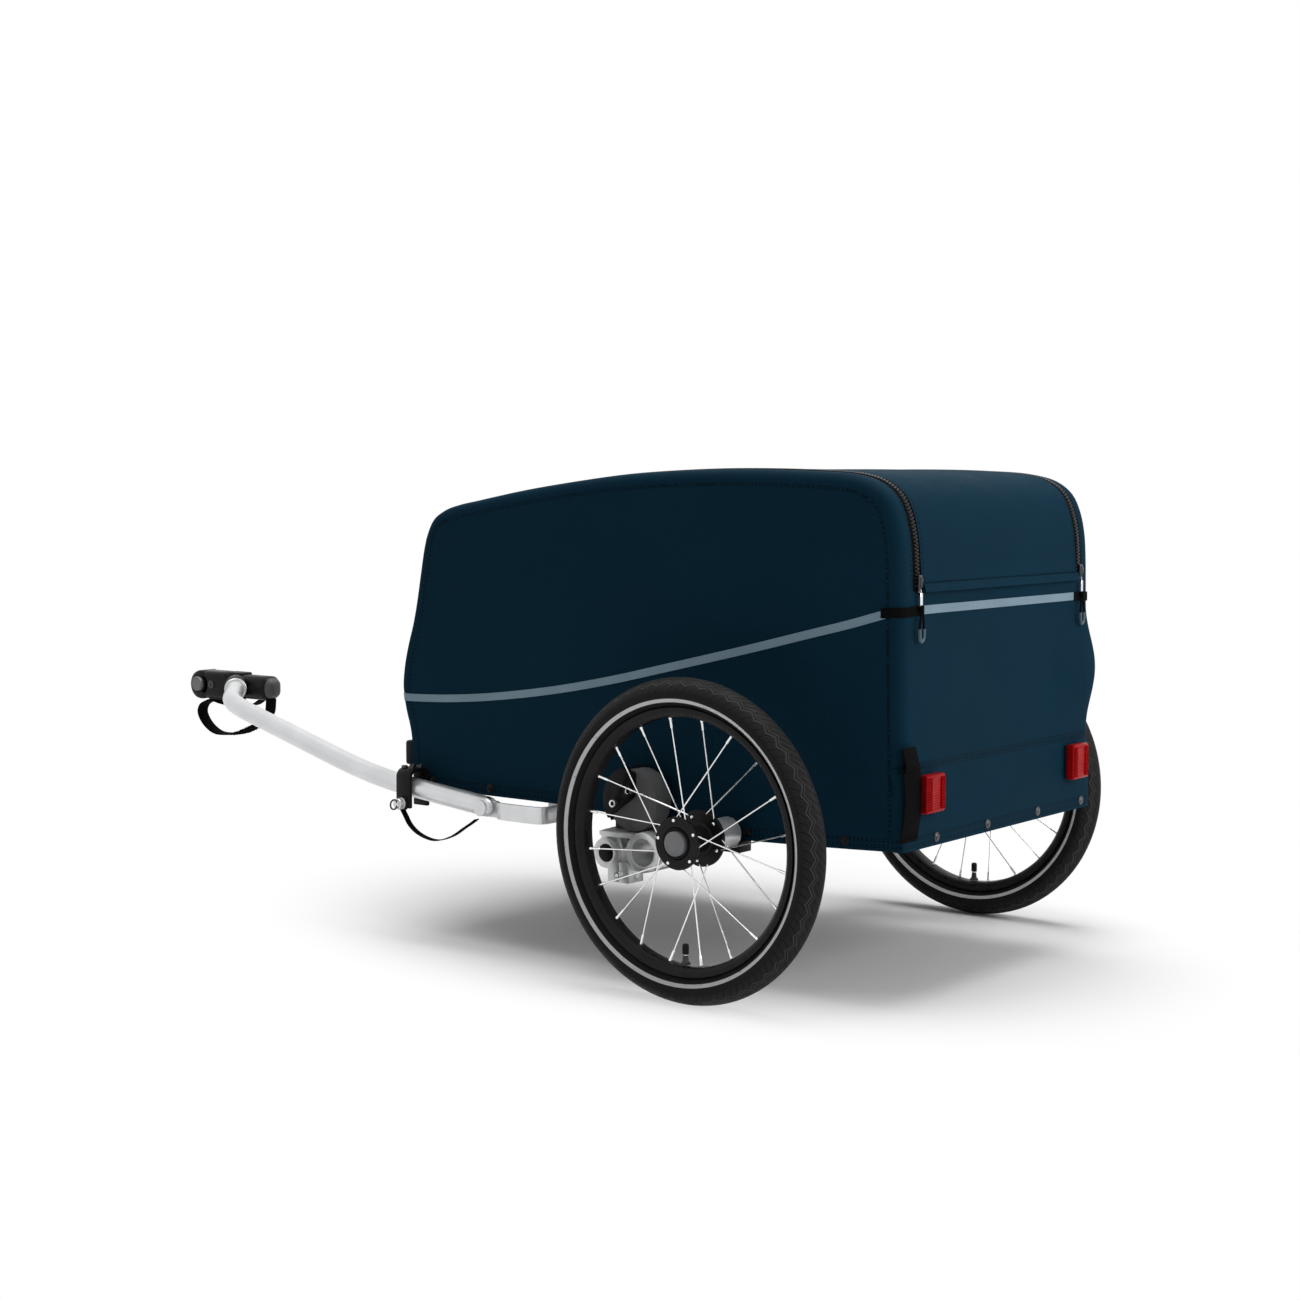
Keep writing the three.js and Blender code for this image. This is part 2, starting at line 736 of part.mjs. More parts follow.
for (const side of [1, -1]) {
  const label = side > 0 ? "left" : "right";
  const hand = side > 0 ? (geometry) => geometry : mirrored;
  const wheel = new THREE.Group();
  wheel.position.set(0, side * trackHalf, wheelRadius);
  trailer.add(wheel);
  addPiece(wheel, `tyre_${label}`, hand(tyreGeometry()), tyreRubber);
  addPiece(wheel, `rim_${label}`, hand(rimGeometry()), blackMetal);
  addPiece(wheel, `inner_tube_valve_${label}`, hand(valveGeometry()), blackPlastic);
  addPiece(wheel, `spoked_hub_${label}`, hand(hubGeometry()), steel);
  addPiece(wheel, `hub_bearing_${label}`, hand(bearingGeometry()), steel);
  addPiece(wheel, `axle_${label}`, hand(axleGeometry()), blackMetal);
  addPiece(wheel, `axle_button_${label}`, hand(buttonGeometry()), greyPlastic);
  addPiece(trailer, `swing_arm_${label}`, hand(swingArmGeometry()), silver);
  addPiece(trailer, `suspension_pad_${label}`, hand(padGeometry()), padFoam);
  addPiece(trailer, `suspension_bracket_${label}`, hand(suspensionBracketGeometry()), blackMetal);
}

// The cover's side view, from the bottom of the rear wall over the lid to the bottom of the front
function coverPoints(shares) {
  return shares.map(([along, up]) => [coverRear + coverLength * along, coverBottom + coverHeight * up]);
}

const coverProfile = coverPoints([...rearWallShares, ...lidShares, ...frontWallShares]);
const flapIndex = rearWallShares.length - 1;
const hingeIndex = flapIndex + lidShares.length;
const sideInner = coverHalfWidth - coverWall;
const panelHalf = sideInner - seatGap;

// The rear wall's outer face at a height
function rearFaceAt(z) {
  const [low, high] = coverProfile;
  return low[0] + (high[0] - low[0]) * (z - low[1]) / (high[1] - low[1]);
}

// Base frame: two rails and two crossbars, the beams below them and the floor tray on top
const railTop = railBottom + railSize;
const railInner = panelHalf - railSize;
const railRear = rearFaceAt(railTop) + coverWall + seatGap;

addPiece(
  trailer, "side_rail_left",
  boxTube(railRear, railFront, railInner, panelHalf, railBottom, railTop, true), silver,
);
addPiece(
  trailer, "side_rail_right",
  boxTube(railRear, railFront, -panelHalf, -railInner, railBottom, railTop, true), silver,
);
const crossHalf = railInner - seatGap;
addPiece(
  trailer, "rear_crossbar",
  boxTube(railRear, railRear + railSize, -crossHalf, crossHalf, railBottom, railTop, false), silver,
);
addPiece(
  trailer, "front_crossbar",
  boxTube(railFront - railSize, railFront, -crossHalf, crossHalf, railBottom, railTop, false), silver,
);
const beamTop = railBottom - seatGap;
const beamHalf = pivotBlockInnerY - seatGap;
const beamRear = pivotX - pivotBeamLength / 2;
const beamFront = pivotX + pivotBeamLength / 2;
addPiece(
  trailer, "pivot_beam",
  boxTube(beamRear, beamFront, -beamHalf, beamHalf, beamTop - pivotBeamHeight, beamTop, false), silver,
);
const rearBeamZ = beamTop - rearBeamRadius;
const rearBeamEnd = rearBeamReach + cutOverrun;
const rearBlocks = [1, -1].map((side) => {
  const ends = [side * rearBeamReach, side * (rearBeamReach + rearBlockReach)];
  return block(
    -rearBlockLength / 2, rearBlockLength / 2, Math.min(...ends), Math.max(...ends),
    coverBottom - rearBlockHeight + rearBeamRadius / 4, coverBottom - rearBeamRadius / 2,
  );
});
addPiece(
  trailer, "rear_beam",
  joined(bar(0, rearBeamZ, rearBeamRadius, -rearBeamEnd, rearBeamEnd, roundSides), ...rearBlocks),
  blackMetal,
);
const trayHalf = railInner + trayOverlap;
const trayBottom = railTop + seatGap;
addPiece(
  trailer, "floor_tray",
  block(
    railRear + trayOverlap, railFront - trayOverlap, -trayHalf, trayHalf,
    trayBottom, trayBottom + trayThickness,
  ),
  trayBoard,
);

// Hoops that hold the cover up at both sides, with a bow between them at the rear and front
const bowInset = coverWall + bowClearance + bowRadius;
const bowLine = offsetLine(coverProfile, bowInset);
bowLine[0][1] = railTop + seatGap;
bowLine[bowLine.length - 1][1] = railTop + seatGap;
const bowY = panelHalf - bowClearance - bowRadius;

function hoopGeometry(y) {
  const path = new THREE.CurvePath();
  for (let i = 1; i < bowLine.length; i += 1) {
    const [from, to] = [bowLine[i - 1], bowLine[i]];
    path.add(new THREE.LineCurve3(
      new THREE.Vector3(from[0], y, from[1]), new THREE.Vector3(to[0], y, to[1]),
    ));
  }
  return swept(path, bowRadius, 0, tubeSides, bowSteps);
}

// The hoop's own centre line at a share of the cover's height, at the rear or the front
function hoopPlace(heightShare, front) {
  const z = coverBottom + coverHeight * heightShare;
  const line = front ? [...bowLine].reverse() : bowLine;
  const above = line.findIndex(([, height]) => height >= z);
  const [low, high] = [line[above - 1], line[above]];
  const share = (z - low[1]) / (high[1] - low[1]);
  return [low[0] + (high[0] - low[0]) * share, z];
}

addPiece(trailer, "hoop_left", hoopGeometry(bowY), silver);
addPiece(trailer, "hoop_right", hoopGeometry(-bowY), silver);
const bowHalf = bowY - bowRadius - seatGap;
const bows = [["rear_bow", rearBowShare, false], ["front_bow", frontBowShare, true]];
for (const [name, heightShare, front] of bows) {
  const place = hoopPlace(heightShare - bowInset / coverHeight, front);
  addPiece(trailer, name, bar(...place, bowRadius, -bowHalf, bowHalf, smallSides), silver);
}

// Cover: side panels, rear and front walls, the bands beside the zips, the zips and the lid
const sideOutline = [...coverProfile, ...coverPoints(hemShares)];
addPiece(trailer, "cover_side_left", sidePlate(sideOutline, sideInner, coverHalfWidth), navyFabric);
addPiece(trailer, "cover_side_right", sidePlate(sideOutline, -coverHalfWidth, -sideInner), navyFabric);
const rearLine = coverProfile.slice(0, flapIndex + 1);
const lidLine = trimmed(coverProfile.slice(flapIndex, hingeIndex + 1), seatGap, seatGap);
const frontLine = coverProfile.slice(hingeIndex);
addPiece(trailer, "cover_rear", strip(rearLine, 0, coverWall, -panelHalf, panelHalf), navyFabric);
addPiece(trailer, "cover_front", strip(frontLine, 0, coverWall, -panelHalf, panelHalf), navyFabric);
const zipInner = lidHalfWidth + seatGap;
const zipOuter = zipInner + zipWidth;
const bandInner = zipOuter + seatGap;
addPiece(trailer, "cover_band_left", strip(lidLine, 0, coverWall, bandInner, panelHalf), navyFabric);
addPiece(trailer, "cover_band_right", strip(lidLine, 0, coverWall, -panelHalf, -bandInner), navyFabric);
addPiece(trailer, "zip_left", strip(lidLine, zipProud, coverWall, zipInner, zipOuter), blackWebbing);
addPiece(trailer, "zip_right", strip(lidLine, zipProud, coverWall, -zipOuter, -zipInner), blackWebbing);
addPiece(trailer, "lid", strip(lidLine, 0, coverWall, -lidHalfWidth, lidHalfWidth), navyFabric);

// Zip sliders on the lower ends of the zips, each with a puller hanging from its eye
const [flapX, flapZ] = coverProfile[flapIndex];
const sliderFace = flapX - zipProud - seatGap;
const sliderBottom = flapZ + sliderLift;
const pullerX = sliderFace - sliderDepth / 2;

for (const side of [1, -1]) {
  const label = side > 0 ? "left" : "right";
  const y = side * (zipInner + zipWidth / 2);
  const slider = new THREE.Group();
  slider.position.set(0, y, 0);
  trailer.add(slider);
  const body = block(
    sliderFace - sliderDepth, sliderFace, -sliderWidth / 2, sliderWidth / 2,
    sliderBottom, sliderBottom + sliderHeight,
  );
  addPiece(slider, `zip_slider_${label}`, body, steel);
  const top = sliderBottom - seatGap;
  const outer = block(
    pullerX - pullerThickness / 2, pullerX + pullerThickness / 2, -pullerWidth / 2, pullerWidth / 2,
    top - pullerLength, top,
  );
  const slot = block(
    pullerX - pullerThickness, pullerX + pullerThickness,
    -pullerWidth / 2 + pullerRail, pullerWidth / 2 - pullerRail,
    top - pullerLength + pullerRail, top - pullerRail,
  );
  addPiece(slider, `zip_puller_${label}`, cut(outer, slot), blackWebbing);
}

// Rear reflectors, the flag strap and the front bumpers
for (const side of [1, -1]) {
  const label = side > 0 ? "left" : "right";
  const x = rearFaceAt(reflectorZ - reflectorHeight / 2) - seatGap;
  const half = reflectorWidth / 2;
  const lens = planPlate([
    [x, -half], [x, half], [x - reflectorDepth / 2, half],
    [x - reflectorDepth, half - reflectorTaper], [x - reflectorDepth, reflectorTaper - half],
    [x - reflectorDepth / 2, -half],
  ], reflectorZ - reflectorHeight / 2, reflectorZ + reflectorHeight / 2);
  addPiece(trailer, `rear_reflector_${label}`, lens.translate(0, side * reflectorY, 0), redLens);
  const bumperX = Math.max(...frontLine.slice(-2).map(([place]) => place)) + seatGap;
  const bumper = block(
    bumperX, bumperX + bumperDepth, side * bumperY - bumperWidth / 2, side * bumperY + bumperWidth / 2,
    bumperBottom, bumperTop,
  );
  addPiece(trailer, `front_bumper_${label}`, bumper, blackPlastic);
}
const strapX = rearFaceAt(strapBottom) - seatGap;
addPiece(
  trailer, "flag_strap",
  block(
    strapX - strapThickness, strapX, strapY - strapWidth / 2, strapY + strapWidth / 2,
    strapBottom, strapTop,
  ),
  blackWebbing,
);

// Drawbar: a bent tube with a forked rear end
const hitchFaceY = hitchY + hitchWidth / 2;
const tubeEnd = new THREE.Vector3(hitchTubeX, hitchFaceY, hitchZ);
const tubeStart = new THREE.Vector3(drawbarPivotX, drawbarY, drawbarPivotZ);
const lowBend = new THREE.Vector3(drawbarLowX, drawbarY, drawbarLowZ);
const highBend = new THREE.Vector3(drawbarHighX, drawbarY, drawbarHighZ);

// The point a distance along the way from one place to another
function towards(from, to, distance) {
  return from.clone().add(to.clone().sub(from).setLength(distance));
}

const lastRun = towards(tubeEnd, highBend, seatGap);
const firstRun = towards(tubeStart, lowBend, -drawbarTail);
const drawbarPath = new THREE.CurvePath();
drawbarPath.add(new THREE.LineCurve3(firstRun, towards(lowBend, tubeStart, drawbarBendLow)));
drawbarPath.add(new THREE.QuadraticBezierCurve3(
  towards(lowBend, tubeStart, drawbarBendLow), lowBend, towards(lowBend, highBend, drawbarBendLow),
));
drawbarPath.add(new THREE.LineCurve3(
  towards(lowBend, highBend, drawbarBendLow), towards(highBend, lowBend, drawbarBendHigh),
));
drawbarPath.add(new THREE.QuadraticBezierCurve3(
  towards(highBend, lowBend, drawbarBendHigh), highBend, towards(highBend, tubeEnd, drawbarBendHigh),
));
drawbarPath.add(new THREE.LineCurve3(towards(highBend, tubeEnd, drawbarBendHigh), lastRun));

const pinOuterY = drawbarY + drawbarRadius + pinGap;
const pinInnerY = drawbarY - drawbarRadius - pinTail;
const forkSlot = block(
  drawbarPivotX - drawbarTail - cutOverrun, drawbarPivotX + forkSlotLength,
  drawbarY - forkSlotWidth / 2, drawbarY + forkSlotWidth / 2,
  drawbarPivotZ - 2 * drawbarRadius, drawbarPivotZ + 2 * drawbarRadius,
);
const forkHole = bar(
  drawbarPivotX, drawbarPivotZ, pinRadius + pinGap,
  pinInnerY - cutOverrun, pinOuterY + cutOverrun, smallSides,
);
addPiece(
  trailer, "drawbar_tube",
  cut(swept(drawbarPath, drawbarRadius, drawbarBore, smallSides, drawbarSteps), forkSlot, forkHole), silver,
);
addPiece(trailer, "drawbar_pivot_pin", turned([
  [0, pinInnerY], [pinRadius, pinInnerY], [pinRadius, pinOuterY],
  [pinHeadRadius, pinOuterY], [pinHeadRadius, pinOuterY + pinHeadLength], [0, pinOuterY + pinHeadLength],
], roundSides, drawbarPivotX, drawbarPivotZ), steel);

// The bracket: a tongue in the fork that opens into a flat-bar loop with its foot under the rail
const shoulderX = drawbarPivotX - bracketShoulder;
const loopRear = shoulderX - bracketLoopLength;
const barOuterY = drawbarY + drawbarRadius;
const bracketZ = drawbarPivotZ - bracketHeight / 2;
const bracketTop = Math.min(bracketZ + bracketHeight, railBottom - seatGap);
const bracketPlan = planPlate([
  [drawbarPivotX + tongueReach, drawbarY + tongueThickness / 2],
  [shoulderX, drawbarY + tongueThickness / 2],
  [shoulderX - bracketBar, barOuterY],
  [loopRear + bracketBar, barOuterY],
  [loopRear, barOuterY - bracketBar],
  [loopRear - bracketBar, bracketInnerY - bracketBar],
  [loopRear - bracketBar, bracketFootY],
  [loopRear - bracketBar + bracketFootLength, bracketFootY],
  [loopRear - bracketBar + bracketFootLength, bracketInnerY - 2 * bracketBar],
  [shoulderX, drawbarY - tongueThickness / 2],
  [drawbarPivotX + tongueReach, drawbarY - tongueThickness / 2],
], bracketZ, bracketTop);
const loopWindow = planPlate([
  [shoulderX - 2 * bracketBar, drawbarY],
  [shoulderX - 3 * bracketBar, barOuterY - bracketBar],
  [loopRear + bracketBar, barOuterY - bracketBar],
  [loopRear + bracketBar, bracketInnerY],
  [loopRear + bracketFootLength, bracketInnerY - bracketBar],
], bracketZ - cutOverrun, bracketTop + cutOverrun);
addPiece(trailer, "drawbar_bracket", cut(
  bracketPlan, loopWindow,
  bar(drawbarPivotX, drawbarPivotZ, pinRadius + pinGap, bracketFootY, pinOuterY, smallSides),
), silver);

// The saddle over the drawbar: an upside-down U with a foot under the rail and a pin through its legs
const saddleShare = (saddleX - drawbarPivotX) / (drawbarLowX - drawbarPivotX);
const saddleTubeZ = drawbarPivotZ + (drawbarLowZ - drawbarPivotZ) * saddleShare;
const legInner = drawbarRadius + saddleClearance;
const legOuter = legInner + saddleWall;
const lockPinZ = saddleTubeZ - drawbarRadius - saddleTopClearance - lockPinRadius;
const legBottom = lockPinZ - saddleLegDrop;
const saddleInsideTop = saddleTubeZ + drawbarRadius + saddleTopClearance;
const saddleTop = saddleInsideTop + saddleTopThickness;
const saddleX0 = saddleX - saddleLength / 2;
const saddleX1 = saddleX + saddleLength / 2;
const saddleBoltLength = saddleBoltHead + saddleWall;
const saddleBolts = [1, -1].map((end) => {
  const bolt = new THREE.CylinderGeometry(saddleBoltRadius, saddleBoltRadius, saddleBoltLength, smallSides);
  return bolt.rotateX(Math.PI / 2).translate(saddleX + end * saddleLength / 4, drawbarY, saddleTop);
});
const footTop = railBottom - seatGap;
addPiece(trailer, "drawbar_saddle", cut(
  joined(
    block(saddleX0, saddleX1, drawbarY - legOuter, drawbarY + legOuter, legBottom, saddleTop),
    block(
      saddleX0, saddleX1, saddleFootY, drawbarY - legInner - seatGap,
      footTop - saddleFootHeight, footTop,
    ),
    ...saddleBolts,
  ),
  block(
    saddleX0 - cutOverrun, saddleX1 + cutOverrun, drawbarY - legInner, drawbarY + legInner,
    legBottom - cutOverrun, saddleInsideTop,
  ),
  bar(
    saddleX, lockPinZ, lockPinRadius + pinGap,
    drawbarY - 2 * legOuter, drawbarY + 2 * legOuter, smallSides,
  ),
), blackPlastic);

// The pin ends in the outer leg, clear of the drawbar's side, so that the drawbar can swing past it
const lockPinHeadY = drawbarY + legOuter + seatGap;
const lockPinTip = drawbarY + drawbarRadius + pinGap;
const lockPinBody = turned([
  [0, lockPinTip], [lockPinRadius, lockPinTip], [lockPinRadius, lockPinHeadY],
  [lockPinHeadRadius, lockPinHeadY], [lockPinHeadRadius, lockPinHeadY + lockPinHeadLength],
  [0, lockPinHeadY + lockPinHeadLength],
], smallSides, saddleX, lockPinZ);
const pinRing = new THREE.TorusGeometry(lockPinRingRadius, lockPinRingWire, tubeSides, smallSides);
pinRing.rotateX(Math.PI / 2).rotateZ(Math.PI / 2);
pinRing.translate(saddleX, lockPinHeadY + lockPinHeadLength + lockPinRingRadius - lockPinRingWire, lockPinZ);
addPiece(trailer, "lock_pin", joined(lockPinBody, pinRing), steel);

const tetherTop = lockPinZ - lockPinHeadRadius - seatGap;
const tetherLength = saddleX - drawbarPivotX;
const tetherLine = tetherShares.map(([along, down]) => [
  saddleX - tetherLength * along,
  tetherTop - tetherThickness / 2 - tetherSag * down,
]);
const tetherY = drawbarY + drawbarRadius + tetherSideGap;
addPiece(
  trailer, "pin_tether",
  strip(tetherLine, tetherThickness / 2, tetherThickness / 2, tetherY, tetherY + tetherWidth), blackWebbing,
);

// The hitch housing: a bar along X with the drawbar's ferrule, a coupling socket and a lug below
const tubeDirection = highBend.clone().sub(tubeEnd).normalize();
function ferrulePart(radius, from, to, sides) {
  const part = new THREE.CylinderGeometry(radius, radius, to - from, sides);
  part.applyQuaternion(new THREE.Quaternion().setFromUnitVectors(new THREE.Vector3(0, 1, 0), tubeDirection));
  const middle = tubeEnd.clone().add(tubeDirection.clone().multiplyScalar((from + to) / 2));
  return part.translate(middle.x, middle.y, middle.z);
}
const hitchLow = hitchZ - hitchHeight / 2;
const hitchHigh = hitchZ + hitchHeight / 2;
const hitchBackY = hitchY - hitchWidth / 2;
const noseRadius = hitchHeight / 2;
const hitchOutline = [
  [hitchRear, hitchLow + hitchCorner], [hitchRear + hitchCorner, hitchLow],
  ...arcPoints(hitchFront - noseRadius, hitchZ, noseRadius, -90, 90, smallSides),
  [hitchRear + hitchCorner, hitchHigh], [hitchRear, hitchHigh - hitchCorner],
];
const buttonPocket = hitchButtonDepth + hitchButtonTravel;
const lugFront = lugX + lugLength / 2;
addPiece(trailer, "hitch_housing", cut(
  joined(
    sidePlate(hitchOutline, hitchBackY, hitchFaceY),
    ferrulePart(ferruleRadius, -ferruleRadius, ferruleLength, roundSides),
    block(
      hitchBumpX - hitchBumpLength / 2, hitchBumpX + hitchBumpLength / 2,
      hitchY - hitchBumpWidth / 2, hitchY + hitchBumpWidth / 2,
      hitchHigh - hitchBumpHeight, hitchHigh + hitchBumpHeight,
    ),
    block(
      lugFront - lugLength, lugFront, hitchY - lugWidth / 2, hitchY + lugWidth / 2,
      hitchLow - lugHeight, hitchLow + lugHeight,
    ),
  ),
  ferrulePart(drawbarRadius + seatGap, 0, ferruleLength + cutOverrun, roundSides),
  bar(
    hitchButtonX, hitchZ, hitchButtonRadius + seatGap,
    hitchFaceY - buttonPocket, hitchFaceY + cutOverrun, roundSides,
  ),
  bar(
    keyLockX, hitchZ, keyLockRadius + seatGap,
    hitchFaceY - keyLockDepth, hitchFaceY + cutOverrun, smallSides,
  ),
  bar(couplingX, hitchZ, couplingRadius, hitchBackY - cutOverrun, hitchBackY + couplingDepth, roundSides),
), blackPlastic);
addPiece(trailer, "hitch_button", bar(
  hitchButtonX, hitchZ, hitchButtonRadius, hitchFaceY - hitchButtonDepth + seatGap,
  hitchFaceY + hitchButtonTravel + hitchButtonProud, roundSides,
), greyPlastic);
addPiece(trailer, "key_lock", cut(
  bar(
    keyLockX, hitchZ, keyLockRadius,
    hitchFaceY - keyLockDepth + seatGap, hitchFaceY + keyLockProud, smallSides,
  ),
  block(
    keyLockX - keySlotWidth / 2, keyLockX + keySlotWidth / 2,
    hitchFaceY + keyLockProud - keySlotDepth, hitchFaceY + cutOverrun,
    hitchZ - keySlotLength / 2, hitchZ + keySlotLength / 2,
  ),
), steel);
const capOutline = arcPoints(hitchY, hitchZ, capWidth / 2, -90, 90, smallSides);
const cap = new THREE.ExtrudeGeometry(
  new THREE.Shape([
    new THREE.Vector2(hitchY - capWidth / 2, hitchZ - capHeight / 2),
    ...capOutline.map(([y, z]) => new THREE.Vector2(y, hitchZ + (z - hitchZ) * capHeight / capWidth)),
    new THREE.Vector2(hitchY - capWidth / 2, hitchZ + capHeight / 2),
  ]),
  { depth: capThickness, bevelEnabled: false },
);
cap.rotateX(Math.PI / 2).rotateZ(Math.PI / 2);
cap.translate(hitchRear - seatGap - capThickness, 0, 0);
addPiece(trailer, "hitch_end_cap", cap, greyPlastic);

// The webbing safety strap hanging in a loop below the housing
const loopLine = strapLoopShares.map(([along, down]) => [
  lugFront - strapLoopLength * along,
  hitchLow - lugHeight - strapLoopDrop * down,
]);
loopLine[loopLine.length - 1][1] = hitchLow - seatGap - strapLoopThickness / 4;
loopLine[0][1] = hitchLow - lugHeight - seatGap - strapLoopThickness / 2;
addPiece(
  trailer, "safety_strap",
  strip(
    loopLine, strapLoopThickness / 2, strapLoopThickness / 2,
    hitchY - strapLoopWidth / 2, hitchY + strapLoopWidth / 2,
  ),
  blackWebbing,
);

// The whole trailer stands with the middle of its outline over the origin
const bounds = new THREE.Box3().setFromObject(trailer);
const middle = bounds.getCenter(new THREE.Vector3());
trailer.position.set(-middle.x, -middle.y, -bounds.min.z);

export default trailer;
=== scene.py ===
# %% [markdown]
# # A cargo bike trailer, dressed for its picture
# The trailer's frame, its joints and its solids come from the imported model. This lesson gives each piece the
# shape and finish that the real one shows: fabric, rubber, cast and drawn aluminium, moulded plastic.
# The imported model is the measure of everything, so it is loaded first.

# %% Load the imported frame
import math

import bpy
import numpy as np
from mathutils import Matrix, Vector, noise


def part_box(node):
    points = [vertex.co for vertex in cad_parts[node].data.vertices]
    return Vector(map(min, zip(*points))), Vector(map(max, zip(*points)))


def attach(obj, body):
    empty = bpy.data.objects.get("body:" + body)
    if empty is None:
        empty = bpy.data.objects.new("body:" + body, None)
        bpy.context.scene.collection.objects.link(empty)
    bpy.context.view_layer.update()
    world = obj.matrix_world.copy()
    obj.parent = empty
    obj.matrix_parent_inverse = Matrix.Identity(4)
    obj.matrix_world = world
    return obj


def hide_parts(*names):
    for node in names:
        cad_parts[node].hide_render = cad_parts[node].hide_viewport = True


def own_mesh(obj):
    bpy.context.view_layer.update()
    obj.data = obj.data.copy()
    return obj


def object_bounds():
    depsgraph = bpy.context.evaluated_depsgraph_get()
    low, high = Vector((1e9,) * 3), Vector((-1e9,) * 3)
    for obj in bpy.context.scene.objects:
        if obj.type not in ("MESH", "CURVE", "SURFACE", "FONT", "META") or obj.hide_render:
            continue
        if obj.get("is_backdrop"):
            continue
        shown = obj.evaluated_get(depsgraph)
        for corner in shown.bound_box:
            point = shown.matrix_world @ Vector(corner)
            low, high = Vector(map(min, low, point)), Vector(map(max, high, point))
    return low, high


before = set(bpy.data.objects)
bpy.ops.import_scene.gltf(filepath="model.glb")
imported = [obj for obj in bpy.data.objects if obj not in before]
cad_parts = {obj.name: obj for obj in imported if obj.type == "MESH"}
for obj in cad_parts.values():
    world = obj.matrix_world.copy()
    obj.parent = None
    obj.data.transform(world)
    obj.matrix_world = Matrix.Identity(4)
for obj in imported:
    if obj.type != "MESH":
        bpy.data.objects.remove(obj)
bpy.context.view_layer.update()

# %% [markdown]
# The trailer was drawn in millimetres from the point on the ground below its axle. One helper turns such a
# place into Blender's metres. It takes the axle's place from the model, so nothing has to be fitted by eye.

# %% Places in millimetres
MM = 0.001
ALONG, ACROSS, UP = Vector((1, 0, 0)), Vector((0, 1, 0)), Vector((0, 0, 1))
axle_low, axle_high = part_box("axle_left")
axle_x = (axle_low.x + axle_high.x) / 2


def at(x, y, z):
    """A place in millimetres from the ground below the axle, in metres."""
    return Vector((axle_x + x * MM, y * MM, z * MM))


print("axle stands", round(axle_x, 4), "m from the model's middle")

# %% [markdown]
# ## Camera
# The picture was taken from behind the trailer's left corner, at the height of the lid, with a moderately
# long lens. The camera's three directions and its place were worked out from the wheel's ellipse and the
# box's edges, and are set as one matrix: right, up and backwards are its columns.

# %% Camera
right, up = Vector((-0.7930, -0.6093, 0.0004)), Vector((0.0475, -0.0613, 0.9970))
forward, eye = Vector((0.6074, -0.7906, -0.0775)), Vector((-1.9984, 2.4649, 0.6369))
camera_data = bpy.data.cameras.new("camera")
camera_data.lens = 60.64
camera_data.sensor_width = 36
camera = bpy.data.objects.new("camera", camera_data)
bpy.context.scene.collection.objects.link(camera)
camera.matrix_world = Matrix((
    (right.x, up.x, -forward.x, eye.x),
    (right.y, up.y, -forward.y, eye.y),
    (right.z, up.z, -forward.z, eye.z),
    (0, 0, 0, 1),
))
bpy.context.scene.camera = camera
print("camera", camera_data.lens, "mm lens at", tuple(round(v, 2) for v in eye))

# %% [markdown]
# ## Modelling helpers
# Most hard pieces of a trailer are turned, drawn or cast, and each of these has its own way of modelling.
# A turned piece starts as one lone vertex, is extruded into a half section and spun about its axis.
# The vertex comes from a small plane whose corners are merged. Everything is deselected first, because an
# operator acts on all that is selected.

# %% Turned pieces


def pick(*pieces):
    """Selects these pieces and nothing else, and makes the first one active."""
    bpy.ops.object.select_all(action="DESELECT")
    for piece in pieces:
        piece.select_set(True)
    bpy.context.view_layer.objects.active = pieces[0]


def lone_vertex(name):
    """A new piece that is one vertex at the origin, left in edit mode."""
    bpy.ops.object.select_all(action="DESELECT")
    bpy.ops.mesh.primitive_plane_add(size=MM, location=(0, 0, 0))
    piece = bpy.context.object
    piece.name = name
    bpy.ops.object.mode_set(mode="EDIT")
    bpy.ops.mesh.merge(type="CENTER")
    return piece


def draw_line(points):
    """Moves the lone vertex to the first point and extrudes it through the others."""
    bpy.ops.transform.translate(value=points[0])
    for here, there in zip(points, points[1:]):
        bpy.ops.mesh.extrude_region_move(TRANSFORM_OT_translate={"value": there - here})


def close_up(merge=0.0):
    """Merges doubles within a distance, turns every face the same way out and leaves edit mode."""
    bpy.ops.object.mode_set(mode="EDIT")
    bpy.ops.mesh.select_all(action="SELECT")
    if merge:
        bpy.ops.mesh.remove_doubles(threshold=merge)
    bpy.ops.mesh.normals_make_consistent(inside=False)
    bpy.ops.object.mode_set(mode="OBJECT")


def turned(name, section, centre, axis=ACROSS, steps=64):
    """A section of (radius, place along the axis) in millimetres, spun about a centre."""
    out = ALONG if abs(axis.dot(ACROSS)) > 0.99 else axis.orthogonal().normalized()
    piece = lone_vertex(name)
    draw_line([centre + out * (radius * MM) + axis * (place * MM) for radius, place in section])
    bpy.ops.mesh.select_all(action="SELECT")
    bpy.ops.mesh.spin(steps=steps, angle=2 * math.pi, center=centre, axis=axis)
    close_up(2e-6)
    return piece


def knurled(piece, centre, axis, start, radius, step, share):
    """Pulls in every second edge of a turned side that is wider than a radius in millimetres.

    The edges are step degrees apart, counted from the direction start.
    """
    for vertex in piece.data.vertices:
        out = vertex.co - centre
        out -= axis * out.dot(axis)
        angle = math.degrees(math.atan2(out.dot(axis.cross(start)), out.dot(start)))
        if out.length > radius * MM and round(angle / step) % 2:
            vertex.co -= out * share


# %% [markdown]
# A block starts as a cube at its size and place, and its edges are rounded by a Bevel modifier that is
# applied at once. A tube is a path with a round bevel, turned into a mesh. Webbing is a line that is
# extruded to its width and then given its thickness by Solidify.

# %% Blocks, tubes and webbing


